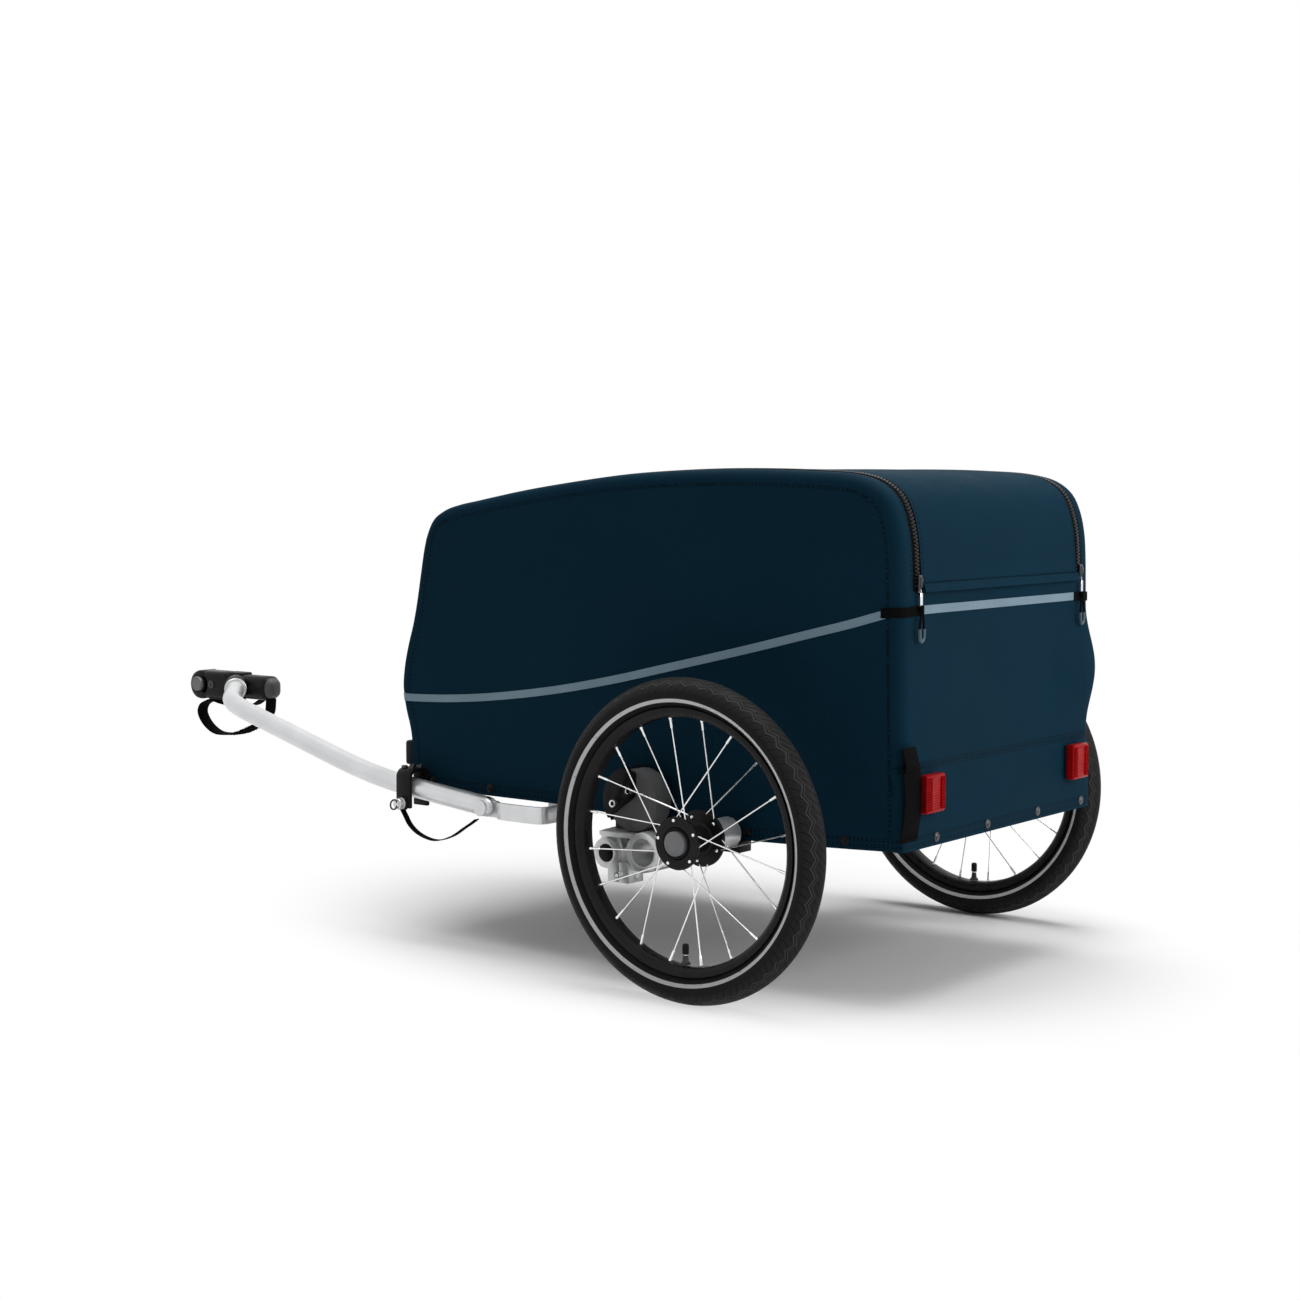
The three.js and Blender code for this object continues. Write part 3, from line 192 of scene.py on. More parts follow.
def apply_modifier(piece, kind, **values):
    """Adds a modifier with these values and applies it."""
    pick(piece)
    modifier = piece.modifiers.new(kind.title(), kind)
    for key, value in values.items():
        setattr(modifier, key, value)
    bpy.ops.object.modifier_apply(modifier=modifier.name)


def rounded(piece, width, segments=3, degrees=30):
    """Rounds the edges that turn by more than some degrees, by a width in millimetres."""
    apply_modifier(
        piece, "BEVEL", width=width * MM, segments=segments,
        limit_method="ANGLE", angle_limit=math.radians(degrees), use_clamp_overlap=True,
    )


def block(name, low, high, edge=1.0, segments=3):
    """A cube between two corners, with rounded edges."""
    bpy.ops.object.select_all(action="DESELECT")
    bpy.ops.mesh.primitive_cube_add(size=1, location=(low + high) / 2, scale=high - low)
    piece = bpy.context.object
    piece.name = name
    bpy.ops.object.transform_apply(location=True, rotation=True, scale=True)
    if edge:
        rounded(piece, edge, segments)
    return piece


def tube(name, points, radius, sides=24, closed=False):
    """A round tube or wire through points, its radius in millimetres."""
    bpy.ops.object.select_all(action="DESELECT")
    bpy.ops.curve.primitive_nurbs_path_add(location=(0, 0, 0))
    path = bpy.context.object
    path.name = name
    path.data.splines.clear()
    line = path.data.splines.new("POLY")
    line.points.add(len(points) - 1)
    for place, point in zip(line.points, points):
        place.co = (*point, 1)
    line.use_cyclic_u = closed
    path.data.bevel_depth = radius * MM
    path.data.bevel_resolution = max(0, sides // 4 - 1)
    path.data.use_fill_caps = not closed
    bpy.ops.object.convert(target="MESH")
    return bpy.context.object


def webbing(name, points, side, width, thickness):
    """A woven strap along points, as wide as width towards side, both in millimetres."""
    piece = lone_vertex(name)
    draw_line([point - side * (width * MM / 2) for point in points])
    bpy.ops.mesh.select_all(action="SELECT")
    bpy.ops.mesh.extrude_region_move(TRANSFORM_OT_translate={"value": side * (width * MM)})
    close_up()
    apply_modifier(piece, "SOLIDIFY", thickness=thickness * MM, offset=0)
    rounded(piece, thickness * 0.3, 2, 60)
    return piece


# %% [markdown]
# A cast or moulded piece already has its shape as a solid, but with razor-sharp edges. Its mesh is copied,
# because the solid's own mesh is never changed. The copy's loose triangles are merged, its flat faces are
# joined, and a Bevel modifier rounds its edges as a casting or a mould leaves them. A solid that is right as
# it is only gets its finish.
# What the trailer has on both sides is modelled once and mirrored, each copy with its own mesh.

# %% Castings and copies


def softened(node, name, edge, segments=2, degrees=40):
    """A copy of a solid with its edges rounded by a width in millimetres."""
    piece = bpy.data.objects.new(name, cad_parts[node].data.copy())
    bpy.context.scene.collection.objects.link(piece)
    pick(piece)
    bpy.ops.object.mode_set(mode="EDIT")
    bpy.ops.mesh.select_all(action="SELECT")
    bpy.ops.mesh.remove_doubles(threshold=1e-5)
    bpy.ops.mesh.dissolve_limited(angle_limit=math.radians(1))
    bpy.ops.object.mode_set(mode="OBJECT")
    rounded(piece, edge, segments, degrees)
    return piece


def coated(node, material):
    """Gives a solid that stays as it is its finish."""
    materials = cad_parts[node].data.materials
    materials.clear()
    materials.append(material)


def copied(piece, name, matrix):
    """A copy of a piece with its own mesh, moved by a matrix. A mirroring matrix turns it right side out."""
    copy = bpy.data.objects.new(name, piece.data.copy())
    bpy.context.scene.collection.objects.link(copy)
    copy.data.transform(matrix)
    if matrix.determinant() < 0:
        copy.data.flip_normals()
    return copy


def joined(pieces, name):
    """Several pieces as one."""
    pick(*pieces)
    bpy.ops.object.join()
    pieces[0].name = name
    return pieces[0]


def scattered(piece, name, matrices):
    """One piece repeated at many places, as one mesh. The first piece is used up."""
    count = len(piece.data.vertices)
    corners = np.empty(count * 3)
    piece.data.vertices.foreach_get("co", corners)
    corners = np.c_[corners.reshape(-1, 3), np.ones(count)]
    faces = [tuple(face.vertices) for face in piece.data.polygons]
    places, polygons = [], []
    for turn, matrix in enumerate(matrices):
        places.append((corners @ np.array(matrix).T)[:, :3])
        polygons.extend([tuple(v + turn * count for v in face) for face in faces])
    mesh = bpy.data.meshes.new(name)
    mesh.from_pydata(np.vstack(places).tolist(), [], polygons)
    bpy.data.objects.remove(piece)
    result = bpy.data.objects.new(name, mesh)
    bpy.context.scene.collection.objects.link(result)
    return result


MIRROR = Matrix.Diagonal((1, -1, 1, 1))


def finished(piece, material, slot, body, *nodes, smooth=35):
    """Gives a piece its material, smooth shading and place on a body, and hides the solids it stands for."""
    piece.data.name = piece.name
    piece.data.materials.clear()
    piece.data.materials.append(material)
    pick(piece)
    bpy.ops.object.shade_smooth_by_angle(angle=math.radians(smooth))
    if nodes:
        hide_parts(*nodes)
    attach(piece, body)
    return piece


def both_sides(piece, material, slot, body, *nodes, smooth=35):
    """Finishes a left piece and its mirrored right copy. Bodies and nodes are named without their side."""
    base = piece.name
    twin = copied(piece, base + "_right", MIRROR)
    piece.name = base + "_left"
    for side, one in (("left", piece), ("right", twin)):
        on = body if body == "chassis" else f"{body}_{side}"
        finished(one, material, slot, on, *[f"{node}_{side}" for node in nodes], smooth=smooth)
    print(base, "left and right:", len(piece.data.polygons), "faces each")
    return piece, twin


# %% [markdown]
# ## Finishes
# Every finish is a small tree of nodes that reads the piece's own coordinates, so it stays put when the
# piece moves. Four effects are used in more than one finish and are built once as node groups: the crossing
# threads of cloth, the fine grain of a moulded or cast surface, dust that settles on faces that look up, and
# a row of stitches. Short helpers wire the nodes.

# %% Node helpers


def wire(tree, target, value):
    """Links a socket, or sets a number, colour or vector."""
    if isinstance(value, bpy.types.NodeSocket):
        tree.links.new(value, target)
    else:
        target.default_value = value


def maths(tree, operation, *values):
    """One Math node."""
    node = tree.nodes.new("ShaderNodeMath")
    node.operation = operation
    for target, value in zip(node.inputs, values):
        wire(tree, target, value)
    return node.outputs[0]


def product(tree, first, *others):
    """Two or more values multiplied."""
    for other in others:
        first = maths(tree, "MULTIPLY", first, other)
    return first


def between(tree, value, low, high, to_low=0.0, to_high=1.0):
    """A value moved softly from one range to another."""
    node = tree.nodes.new("ShaderNodeMapRange")
    node.interpolation_type = "SMOOTHSTEP"
    for target, one in zip(node.inputs, (value, low, high, to_low, to_high)):
        wire(tree, target, one)
    return node.outputs[0]


def blended(tree, share, first, second):
    """Two colours mixed by a share."""
    node = tree.nodes.new("ShaderNodeMix")
    node.data_type = "RGBA"
    wire(tree, node.inputs[0], share)
    wire(tree, node.inputs[6], first)
    wire(tree, node.inputs[7], second)
    return node.outputs[2]


def cloudy(tree, place, scale, detail=3.0, roughness=0.55):
    """Noise at a scale per metre."""
    node = tree.nodes.new("ShaderNodeTexNoise")
    wire(tree, node.inputs["Vector"], place)
    node.inputs["Scale"].default_value = scale
    node.inputs["Detail"].default_value = detail
    node.inputs["Roughness"].default_value = roughness
    return node.outputs[0]


def object_place(tree, centre=(0, 0, 0)):
    """The piece's own coordinates, measured from a centre."""
    source = tree.nodes.new("ShaderNodeTexCoord")
    shift = tree.nodes.new("ShaderNodeMapping")
    tree.links.new(source.outputs["Object"], shift.inputs["Vector"])
    shift.inputs["Location"].default_value = [-v for v in centre]
    return shift.outputs[0]


def parts_of(tree, vector):
    """The x, y and z of a vector."""
    node = tree.nodes.new("ShaderNodeSeparateXYZ")
    wire(tree, node.inputs[0], vector)
    return node.outputs


def own_value(tree, name):
    """A number that the mesh carries at each vertex."""
    node = tree.nodes.new("ShaderNodeAttribute")
    node.attribute_name = name
    return node.outputs["Fac"]


def relief(tree, height, distance, strength=1.0, under=None):
    """A Bump node, its distance in metres."""
    node = tree.nodes.new("ShaderNodeBump")
    node.inputs["Strength"].default_value = strength
    node.inputs["Distance"].default_value = distance
    wire(tree, node.inputs["Height"], height)
    if under is not None:
        tree.links.new(under, node.inputs["Normal"])
    return node.outputs[0]


def new_finish(name, **constants):
    """A material with a plain Principled shader. Its constant values sit on the shader's own sockets."""
    material = bpy.data.materials.new(name)
    material.use_nodes = True
    shader = material.node_tree.nodes["Principled BSDF"]
    for key, value in constants.items():
        shader.inputs[key.replace("_", " ")].default_value = value
    return material, material.node_tree, shader


def show(tree, shader, colour, rough, normal=None):
    """Links a finish's colour and roughness, and the normal if it has one."""
    for label, value in (("Base Color", colour), ("Roughness", rough), ("Normal", normal)):
        if value is not None:
            wire(tree, shader.inputs[label], value)


def new_group(name, inputs, outputs):
    """A node group with named inputs and outputs, and its two end nodes."""
    tree = bpy.data.node_groups.new(name, "ShaderNodeTree")
    for label, kind in inputs:
        tree.interface.new_socket(name=label, in_out="INPUT", socket_type=kind)
    for label in outputs:
        tree.interface.new_socket(name=label, in_out="OUTPUT", socket_type="NodeSocketFloat")
    return tree, tree.nodes.new("NodeGroupInput"), tree.nodes.new("NodeGroupOutput")


def placed(tree, group, *values):
    """A group put into a material's tree with its own values."""
    node = tree.nodes.new("ShaderNodeGroup")
    node.node_tree = group
    for target, value in zip(node.inputs, values):
        wire(tree, target, value)
    return node.outputs


# %% [markdown]
# Cloth: threads run two ways. A sine wave across each of the two directions gives the threads' backs, and the
# product of both is high and low by turns, as now one thread and now the other lies on top. It is a height
# for the bump and a shade for the colour. The cover has faces that look sideways, backwards and up, so there
# is one product for each of these planes, and each counts as much as the face looks its way.

# %% Weave group
weave, inside, outside = new_group(
    "woven threads", [("Place", "NodeSocketVector"), ("Pitch", "NodeSocketFloat")], ["Height", "Shade"],
)
x, y, z = parts_of(weave, inside.outputs[0])
turns = maths(weave, "DIVIDE", 2 * math.pi, inside.outputs[1])
waves = [maths(weave, "SINE", product(weave, one, turns)) for one in (x, y, z)]
faces = weave.nodes.new("ShaderNodeNewGeometry")
looks = [maths(weave, "ABSOLUTE", one) for one in parts_of(weave, faces.outputs["Normal"])]
sideways = product(weave, waves[0], waves[2], looks[1])
backwards = product(weave, waves[1], waves[2], looks[0])
upwards = product(weave, waves[0], waves[1], looks[2])
cross = maths(weave, "ADD", maths(weave, "ADD", sideways, backwards), upwards)
slub = cloudy(weave, inside.outputs[0], 260, 2)
wire(weave, outside.inputs[0], maths(weave, "ADD", cross, product(weave, slub, 0.6)))
wire(weave, outside.inputs[1], between(weave, cross, -1, 1))
print("weave group:", len(weave.nodes), "nodes")

# %% [markdown]
# Grain: the fine pitting of moulded plastic and cast metal is noise at two sizes. Dust is noise that only
# shows where a face looks up. A stitch is a short mark that comes and goes along a line: the group is given
# how far the surface is from the line and how far along it lies, and puts out the thread and its groove.

# %% Grain, dust and stitch groups
grain, inside, outside = new_group(
    "fine grain", [("Place", "NodeSocketVector"), ("Fine", "NodeSocketFloat")], ["Height", "Cloud"],
)
small = cloudy(grain, inside.outputs[0], 900, 2)
large = cloudy(grain, inside.outputs[0], 35, 4)
wire(grain, outside.inputs[0], product(grain, small, inside.outputs[1]))
wire(grain, outside.inputs[1], between(grain, large, 0.35, 0.65))

dust, inside, outside = new_group(
    "settled dust", [("Place", "NodeSocketVector"), ("Amount", "NodeSocketFloat")], ["Dust"],
)
faces = dust.nodes.new("ShaderNodeNewGeometry")
facing_up = between(dust, parts_of(dust, faces.outputs["Normal"])[2], 0.2, 1)
specks = between(dust, cloudy(dust, inside.outputs[0], 60, 5, 0.7), 0.4, 0.75)
wire(dust, outside.inputs[0], product(dust, facing_up, specks, inside.outputs[1]))

stitches, inside, outside = new_group(
    "row of stitches",
    [("Distance", "NodeSocketFloat"), ("Along", "NodeSocketFloat"), ("Pitch", "NodeSocketFloat")],
    ["Thread", "Groove"],
)
away = maths(stitches, "ABSOLUTE", inside.outputs[0])
turns = maths(stitches, "DIVIDE", 2 * math.pi, inside.outputs[2])
wave = maths(stitches, "SINE", product(stitches, inside.outputs[1], turns))
near = between(stitches, away, 0.0005, 0.0013, 1, 0)
wire(stitches, outside.inputs[0], product(stitches, near, between(stitches, wave, -0.5, 0.1)))
wire(stitches, outside.inputs[1], between(stitches, away, 0, 0.0032, 1, 0))
print("stitch group:", len(stitches.nodes), "nodes")

# %% [markdown]
# The cover is petrol-navy coated polyester. It hardly shines: its threads show as a fine crosshatch, its
# colour is softly uneven, and each seam is a shallow groove with a row of slightly paler stitches; painted
# shade darkens the groove's colour. Its mesh carries how far each vertex is from the edge fold, from the hem,
# from the zip and from the rear seam, so the stitches can follow those lines.

# %% Cover fabric
NAVY_DARK, NAVY_LIGHT = (0.0021, 0.0185, 0.0350, 1), (0.0034, 0.0228, 0.0418, 1)
COVER_THREADS, STITCHES = 0.0021, 0.0060


def cover_finish(name, *seams):
    """Coated navy cloth, with rows of stitches at (attribute, distance) lines in metres."""
    material, tree, shader = new_finish(name, Specular_IOR_Level=0.025)
    place = object_place(tree)
    threads = placed(tree, weave, place, COVER_THREADS)
    patches = between(tree, cloudy(tree, place, 5, 4), 0.3, 0.7)
    colour = blended(tree, patches, NAVY_DARK, NAVY_LIGHT)
    colour = blended(tree, product(tree, threads[1], 0.3), colour, (0.007, 0.032, 0.052, 1))
    along = own_value(tree, "along")
    thread_mask, groove = 0.0, 0.0
    for attribute, offset in seams:
        distance = maths(tree, "SUBTRACT", own_value(tree, attribute), offset)
        thread, dip = placed(tree, stitches, distance, along, STITCHES)
        thread_mask = maths(tree, "MAXIMUM", thread, thread_mask)
        groove = maths(tree, "MAXIMUM", dip, groove)
    # Painted shade: the colour is darkened in each seam's groove, besides the groove's dip in the bump.
    colour = blended(tree, product(tree, groove, 0.7), colour, (0.0006, 0.003, 0.006, 1))
    colour = blended(tree, product(tree, thread_mask, 0.8), colour, (0.008, 0.036, 0.060, 1))
    # Dust settles on faces that look up; on the cover its amount also lightens the roof, as painted light from
    # above.
    colour = blended(tree, placed(tree, dust, place, 0.03)[0], colour, (0.12, 0.13, 0.13, 1))
    cloth = relief(tree, threads[0], 0.00012, 0.6)
    sewn = maths(tree, "SUBTRACT", thread_mask, product(tree, groove, 1.6))
    rough = between(tree, patches, 0, 1, 0.64, 0.74)
    show(tree, shader, colour, rough, relief(tree, sewn, 0.0005, 0.8, cloth))
    return material


cover_cloth = cover_finish(
    "navy cover cloth", ("edge", 0.0025), ("hem", 0.006), ("hem", 0.0135), ("zip_edge", 0.004),
    ("rear_seam", 0.0), ("rear_seam", 0.005),
)
lid_cloth = cover_finish("navy lid cloth", ("hem", 0.010), ("hem", 0.003), ("zip_edge", 0.004))
print("cover cloth:", len(cover_cloth.node_tree.nodes), "nodes")

# %% [markdown]
# Webbing has ribs across it that are closer together than a cover's threads. The reflective stripe is a
# smooth grey-blue tape with tiny glass beads in it and a slight gloss; the beads' glints are painted lighter
# into its colour as painted highlights.

# %% Webbing, stripe and zip finishes


def webbing_finish(name, colour, pitch):
    """Ribbed narrow cloth."""
    material, tree, shader = new_finish(name, Specular_IOR_Level=0.03)
    place = object_place(tree)
    threads = placed(tree, weave, place, pitch)
    fuzz = between(tree, cloudy(tree, place, 400, 3), 0.3, 0.7)
    pale = tuple(c * 2.2 + 0.001 for c in colour[:3]) + (1,)
    ribbed = blended(tree, product(tree, fuzz, threads[1]), colour, pale)
    show(tree, shader, ribbed, between(tree, fuzz, 0, 1, 0.75, 0.9), relief(tree, threads[0], 0.00025, 0.8))
    return material


black_webbing = webbing_finish("black webbing", (0.0028, 0.0028, 0.0032, 1), 0.0017)
zip_tape = webbing_finish("zip tape", (0.0025, 0.0025, 0.003, 1), 0.0009)

reflective_tape, tree, shader = new_finish("reflective tape", Specular_IOR_Level=0.5)
place = object_place(tree)
beads = cloudy(tree, place, 1500, 2)
shade = between(tree, cloudy(tree, place, 14, 3), 0.3, 0.7)
tape = blended(tree, shade, (0.125, 0.210, 0.270, 1), (0.15, 0.240, 0.305, 1))
# Painted highlight: glints of the glass beads, painted lighter into the tape's colour.
painted_glint = between(tree, beads, 0.5, 0.75, 0, 0.25)
tape = blended(tree, painted_glint, tape, (0.4, 0.5, 0.55, 1))
show(tree, shader, tape, between(tree, beads, 0.3, 0.7, 0.38, 0.6), relief(tree, beads, 0.00008, 0.5))
print("webbing and tape finishes made")

# %% [markdown]
# Hard finishes share one recipe with different values: a base colour that drifts a little, a roughness that
# drifts with it, fine grain in the bump, and dust on what looks up. Plastic, painted metal and cast
# aluminium differ in how strong each of these is.

# %% Hard finishes


def hard_finish(name, first, second, rough, metal=0.0, bump=0.00004, fine=1.0, dusty=0.0, **more):
    """Plastic, paint or metal with grain and drifting gloss."""
    material, tree, shader = new_finish(name, Metallic=metal, **more)
    place = object_place(tree)
    height, cloud = placed(tree, grain, place, fine)
    colour = blended(tree, cloud, first, second)
    if dusty:
        colour = blended(tree, placed(tree, dust, place, dusty)[0], colour, (0.2, 0.19, 0.18, 1))
    show(tree, shader, colour, between(tree, cloud, 0, 1, *rough), relief(tree, height, bump, 0.7))
    return material


black_plastic = hard_finish(
    "moulded black plastic", (0.006, 0.006, 0.0065, 1), (0.010, 0.010, 0.0105, 1), (0.32, 0.44),
    bump=0.00007, dusty=0.03, Specular_IOR_Level=0.12,
)
black_paint = hard_finish(
    "black powder coat", (0.0045, 0.0045, 0.005, 1), (0.0075, 0.0075, 0.008, 1), (0.28, 0.4),
    Specular_IOR_Level=0.10,
)
black_anodised = hard_finish(
    "black anodised rim", (0.006, 0.006, 0.0065, 1), (0.010, 0.010, 0.0105, 1), (0.26, 0.38),
    Specular_IOR_Level=0.14,
)
grey_plastic = hard_finish(
    "grey plastic", (0.155, 0.158, 0.163, 1), (0.185, 0.188, 0.193, 1), (0.36, 0.48), bump=0.00005,
)
dark_grey_plastic = hard_finish(
    "dark grey plastic", (0.075, 0.077, 0.080, 1), (0.098, 0.100, 0.104, 1), (0.4, 0.5), bump=0.00005,
    Specular_IOR_Level=0.25,
)
cast_aluminium = hard_finish(
    "cast aluminium", (0.60, 0.605, 0.61, 1), (0.70, 0.705, 0.71, 1), (0.3, 0.4), metal=0.6,
    bump=0.00005, fine=1.4,
)
polished_steel = hard_finish(
    "polished steel", (0.78, 0.785, 0.79, 1), (0.85, 0.855, 0.86, 1), (0.14, 0.24), metal=1.0, bump=0.00001,
)
dark_steel = hard_finish(
    "dark steel", (0.045, 0.045, 0.048, 1), (0.08, 0.08, 0.085, 1), (0.25, 0.4), metal=0.8, bump=0.00002,
)
pad_rubber = hard_finish(
    "grey elastomer", (0.100, 0.101, 0.103, 1), (0.125, 0.126, 0.128, 1), (0.62, 0.78), bump=0.00016,
    fine=1.5, Specular_IOR_Level=0.2,
)
valve_rubber = hard_finish(
    "valve rubber", (0.008, 0.008, 0.008, 1), (0.013, 0.013, 0.013, 1), (0.45, 0.6),
)
coated_board = hard_finish(
    "coated floor board", (0.018, 0.019, 0.021, 1), (0.028, 0.029, 0.031, 1), (0.5, 0.7), bump=0.00012,
    dusty=0.2,
)
print("hard finishes made")

# %% [markdown]
# The drawbar and the frame are drawn and anodised aluminium. Drawing leaves faint lines along the length,
# which are noise that is stretched nearly seventy times along the trailer. They only change the roughness a
# little, because fine lines in the bump would sparkle. The metal is satin: bright, with soft reflections.

# %% Drawn aluminium
satin_aluminium, tree, shader = new_finish("satin drawn aluminium", Metallic=0.6, Specular_IOR_Level=0.4)
source = tree.nodes.new("ShaderNodeTexCoord")
stretch = tree.nodes.new("ShaderNodeMapping")
tree.links.new(source.outputs["Object"], stretch.inputs["Vector"])
stretch.inputs["Scale"].default_value = (0.015, 1, 1)
lines = cloudy(tree, stretch.outputs[0], 500, 2)
cloud = between(tree, cloudy(tree, object_place(tree), 18, 4), 0.35, 0.65)
metal = blended(tree, cloud, (0.70, 0.705, 0.715, 1), (0.76, 0.765, 0.775, 1))
show(tree, shader, metal, between(tree, lines, 0.3, 0.7, 0.28, 0.34))
print("drawn aluminium:", len(tree.nodes), "nodes")

# %% [markdown]
# The tyre's finish follows the wheel round. The angle about the hub and the distance from it are worked out
# from the object coordinates, and both wheels can share one finish because the distance across is taken as
# its absolute value. The tread has a zigzag line at each shoulder, slanted sipes between, fine ribs down
# the middle, and a pale reflective line on the sidewall. Painted shade darkens the zigzags and sipes, a band
# beside each zigzag is a painted highlight, and the tread's face is a little lighter where it is worn.

# %% Tyre finish
WHEEL_Y, WHEEL_Z = 356.3, 200.0
ZIGZAGS, SIPES = 56, 112
ZIG_WIDTH, ZIG_START = 0.0046, 0.0098
tyre_rubber, tree, shader = new_finish("tyre rubber", Specular_IOR_Level=0.10)
place = object_place(tree, (axle_x, 0, WHEEL_Z * MM))
x, y, z = parts_of(tree, place)
radius = maths(tree, "SQRT", maths(tree, "ADD", maths(tree, "POWER", x, 2), maths(tree, "POWER", z, 2)))
angle = maths(tree, "ARCTAN2", z, x)
aside = maths(tree, "SUBTRACT", maths(tree, "ABSOLUTE", y), WHEEL_Y * MM)
off_centre = maths(tree, "ABSOLUTE", aside)


def sawtooth(tree, value):
    """A wave that climbs and falls in straight lines, from 0 to 1."""
    return maths(tree, "PINGPONG", value, 1.0)


tooth = product(tree, sawtooth(tree, product(tree, angle, ZIGZAGS / math.pi)), ZIG_WIDTH)
zig_centre = maths(tree, "ADD", tooth, ZIG_START)
from_zig = maths(tree, "ABSOLUTE", maths(tree, "SUBTRACT", off_centre, zig_centre))
zigzag = between(tree, from_zig, 0.0004, 0.0012, 1, 0)
# A band beside each zigzag, later painted lighter as a highlight.
beside = between(tree, from_zig, 0.0012, 0.0024, 0.7, 0)
slant = maths(tree, "ADD", product(tree, angle, SIPES / math.pi), product(tree, off_centre, 260))
sipe = between(tree, sawtooth(tree, slant), 0.80, 0.95)
in_middle = between(tree, off_centre, ZIG_START - 0.001, ZIG_START, 1, 0)
past_zigzag, past_wall = between(tree, off_centre, 0.0150, 0.0156), between(tree, radius, 0.1825, 0.1845)
on_shoulder = product(tree, past_zigzag, past_wall)
sipes = product(tree, sipe, maths(tree, "MAXIMUM", in_middle, on_shoulder))
rib_wave = between(tree, maths(tree, "SINE", product(tree, radius, 4200)), 0.2, 1)
ribs = product(tree, rib_wave, between(tree, radius, 0.168, 0.1705, 1, 0))
on_tread = between(tree, radius, 0.1835, 0.1855)
cut_depth_and_shade = maths(tree, "MAXIMUM", product(tree, zigzag, on_tread), sipes)
line_inside, line_outside = between(tree, radius, 0.1706, 0.1709), between(tree, radius, 0.1750, 0.1753, 1, 0)
line_share = product(tree, line_inside, line_outside)
worn = between(tree, cloudy(tree, place, 170, 4, 0.7), 0.62, 0.72)
line_share = product(tree, line_share, maths(tree, "SUBTRACT", 1, product(tree, worn, 0.6)))
scuff = between(tree, cloudy(tree, place, 30, 5, 0.65), 0.35, 0.7)
rubber = blended(tree, scuff, (0.0055, 0.0055, 0.006, 1), (0.0105, 0.0105, 0.011, 1))
# Worn tread is a little lighter; the band beside each zigzag adds a painted highlight.
worn_tread_and_highlight = product(tree, on_tread, maths(tree, "ADD", 0.1, beside))
rubber = blended(tree, worn_tread_and_highlight, rubber, (0.065, 0.065, 0.066, 1))
# Painted shade: the zigzags and sipes are darkened in the colour, besides their dip in the bump.
rubber = blended(tree, product(tree, cut_depth_and_shade, 0.85), rubber, (0.002, 0.002, 0.002, 1))
rubber = blended(tree, line_share, rubber, (0.60, 0.60, 0.605, 1))
pits = product(tree, cloudy(tree, place, 1100, 2), 0.12)
height = maths(tree, "SUBTRACT", maths(tree, "SUBTRACT", pits, cut_depth_and_shade), product(tree, ribs, 0.35))
show(tree, shader, rubber, between(tree, scuff, 0, 1, 0.5, 0.68), relief(tree, height, 0.0011, 0.9))
print("tyre finish:", len(tree.nodes), "nodes")

# %% [markdown]
# The red reflector is clear plastic over a field of tiny prisms. Rows of small pyramids in the bump scatter
# the light as the prisms do, and the colour goes from a painted deep-red shade in their valleys to a painted
# bright-red highlight on their tips. Soft patches of lighter red are a painted glow.

# %% Reflector finish
PRISMS = 640
red_lens, tree, shader = new_finish("red reflector", Specular_IOR_Level=0.06)
x, y, z = parts_of(tree, object_place(tree))
prism = maths(tree, "MINIMUM", *[sawtooth(tree, product(tree, one, PRISMS)) for one in (z, y)])
glow = between(tree, cloudy(tree, object_place(tree), 90, 3), 0.35, 0.7)
# Painted shade and highlight: deep red in the prisms' valleys, bright red on their tips.
red = blended(tree, prism, (0.11, 0.0005, 0.001, 1), (0.60, 0.004, 0.008, 1))
# Painted glow: soft patches of lighter red.
red = blended(tree, product(tree, glow, 0.15), red, (0.70, 0.02, 0.02, 1))
show(tree, shader, red, between(tree, prism, 0, 1, 0.12, 0.3), relief(tree, prism, 0.0002, 0.5))
print("reflector finish:", len(tree.nodes), "nodes")

# %% [markdown]
# ## Wheels
# A tyre is one section spun about the axle: narrow at the beads, widest at half height and rounded over the
# tread. The rim below it is a channel with two upright flanges and a well. Both are drawn once on the left
# wheel and mirrored. A section with rounded corners needs no Bevel afterwards.

# %% Tyre and rim
hub = at(0, WHEEL_Y, WHEEL_Z)
half_tyre = [
    (158.0, 9.5), (164.6, 9.7), (166.0, 11.6), (168.2, 15.2), (171.0, 18.1), (174.0, 19.9), (177.5, 20.8),
    (181.0, 20.9), (184.5, 20.2), (187.8, 18.6), (190.9, 16.2), (193.7, 13.2), (196.2, 9.8), (198.2, 6.3),
    (199.5, 2.8),
]
tyre_section = half_tyre + [(200.0, 0)] + [(r, -y) for r, y in reversed(half_tyre)] + [half_tyre[0]]
tyre = turned("tyre", tyre_section, hub, steps=144)
both_sides(tyre, tyre_rubber, "tyre", "wheel", "tyre")

half_rim = [
    (152.0, 0), (152.0, 6.4), (152.5, 8.2), (153.8, 9.8), (156.4, 12.0), (157.6, 12.8), (159.0, 13.0),
    (162.8, 13.0), (163.7, 12.8), (164.1, 12.2), (164.1, 11.4), (163.6, 11.0), (158.2, 11.0), (157.7, 10.4),
    (157.5, 8.0), (157.5, 0),
]
rim_section = half_rim[:-1] + [(157.5, 0)] + [(r, -y) for r, y in reversed(half_rim[:-1])]
rim = turned("rim", rim_section + [rim_section[0]], hub, steps=144)
both_sides(rim, black_anodised, "black_metal", "wheel", "rim")

# %% [markdown]
# The hub is a turned black shell with two flanges for the spokes, a waist between them and a collar on the
# inside. Its outer face has a deep pocket for the axle's head. Small radii at each shoulder catch the light
# as turned and anodised metal does.

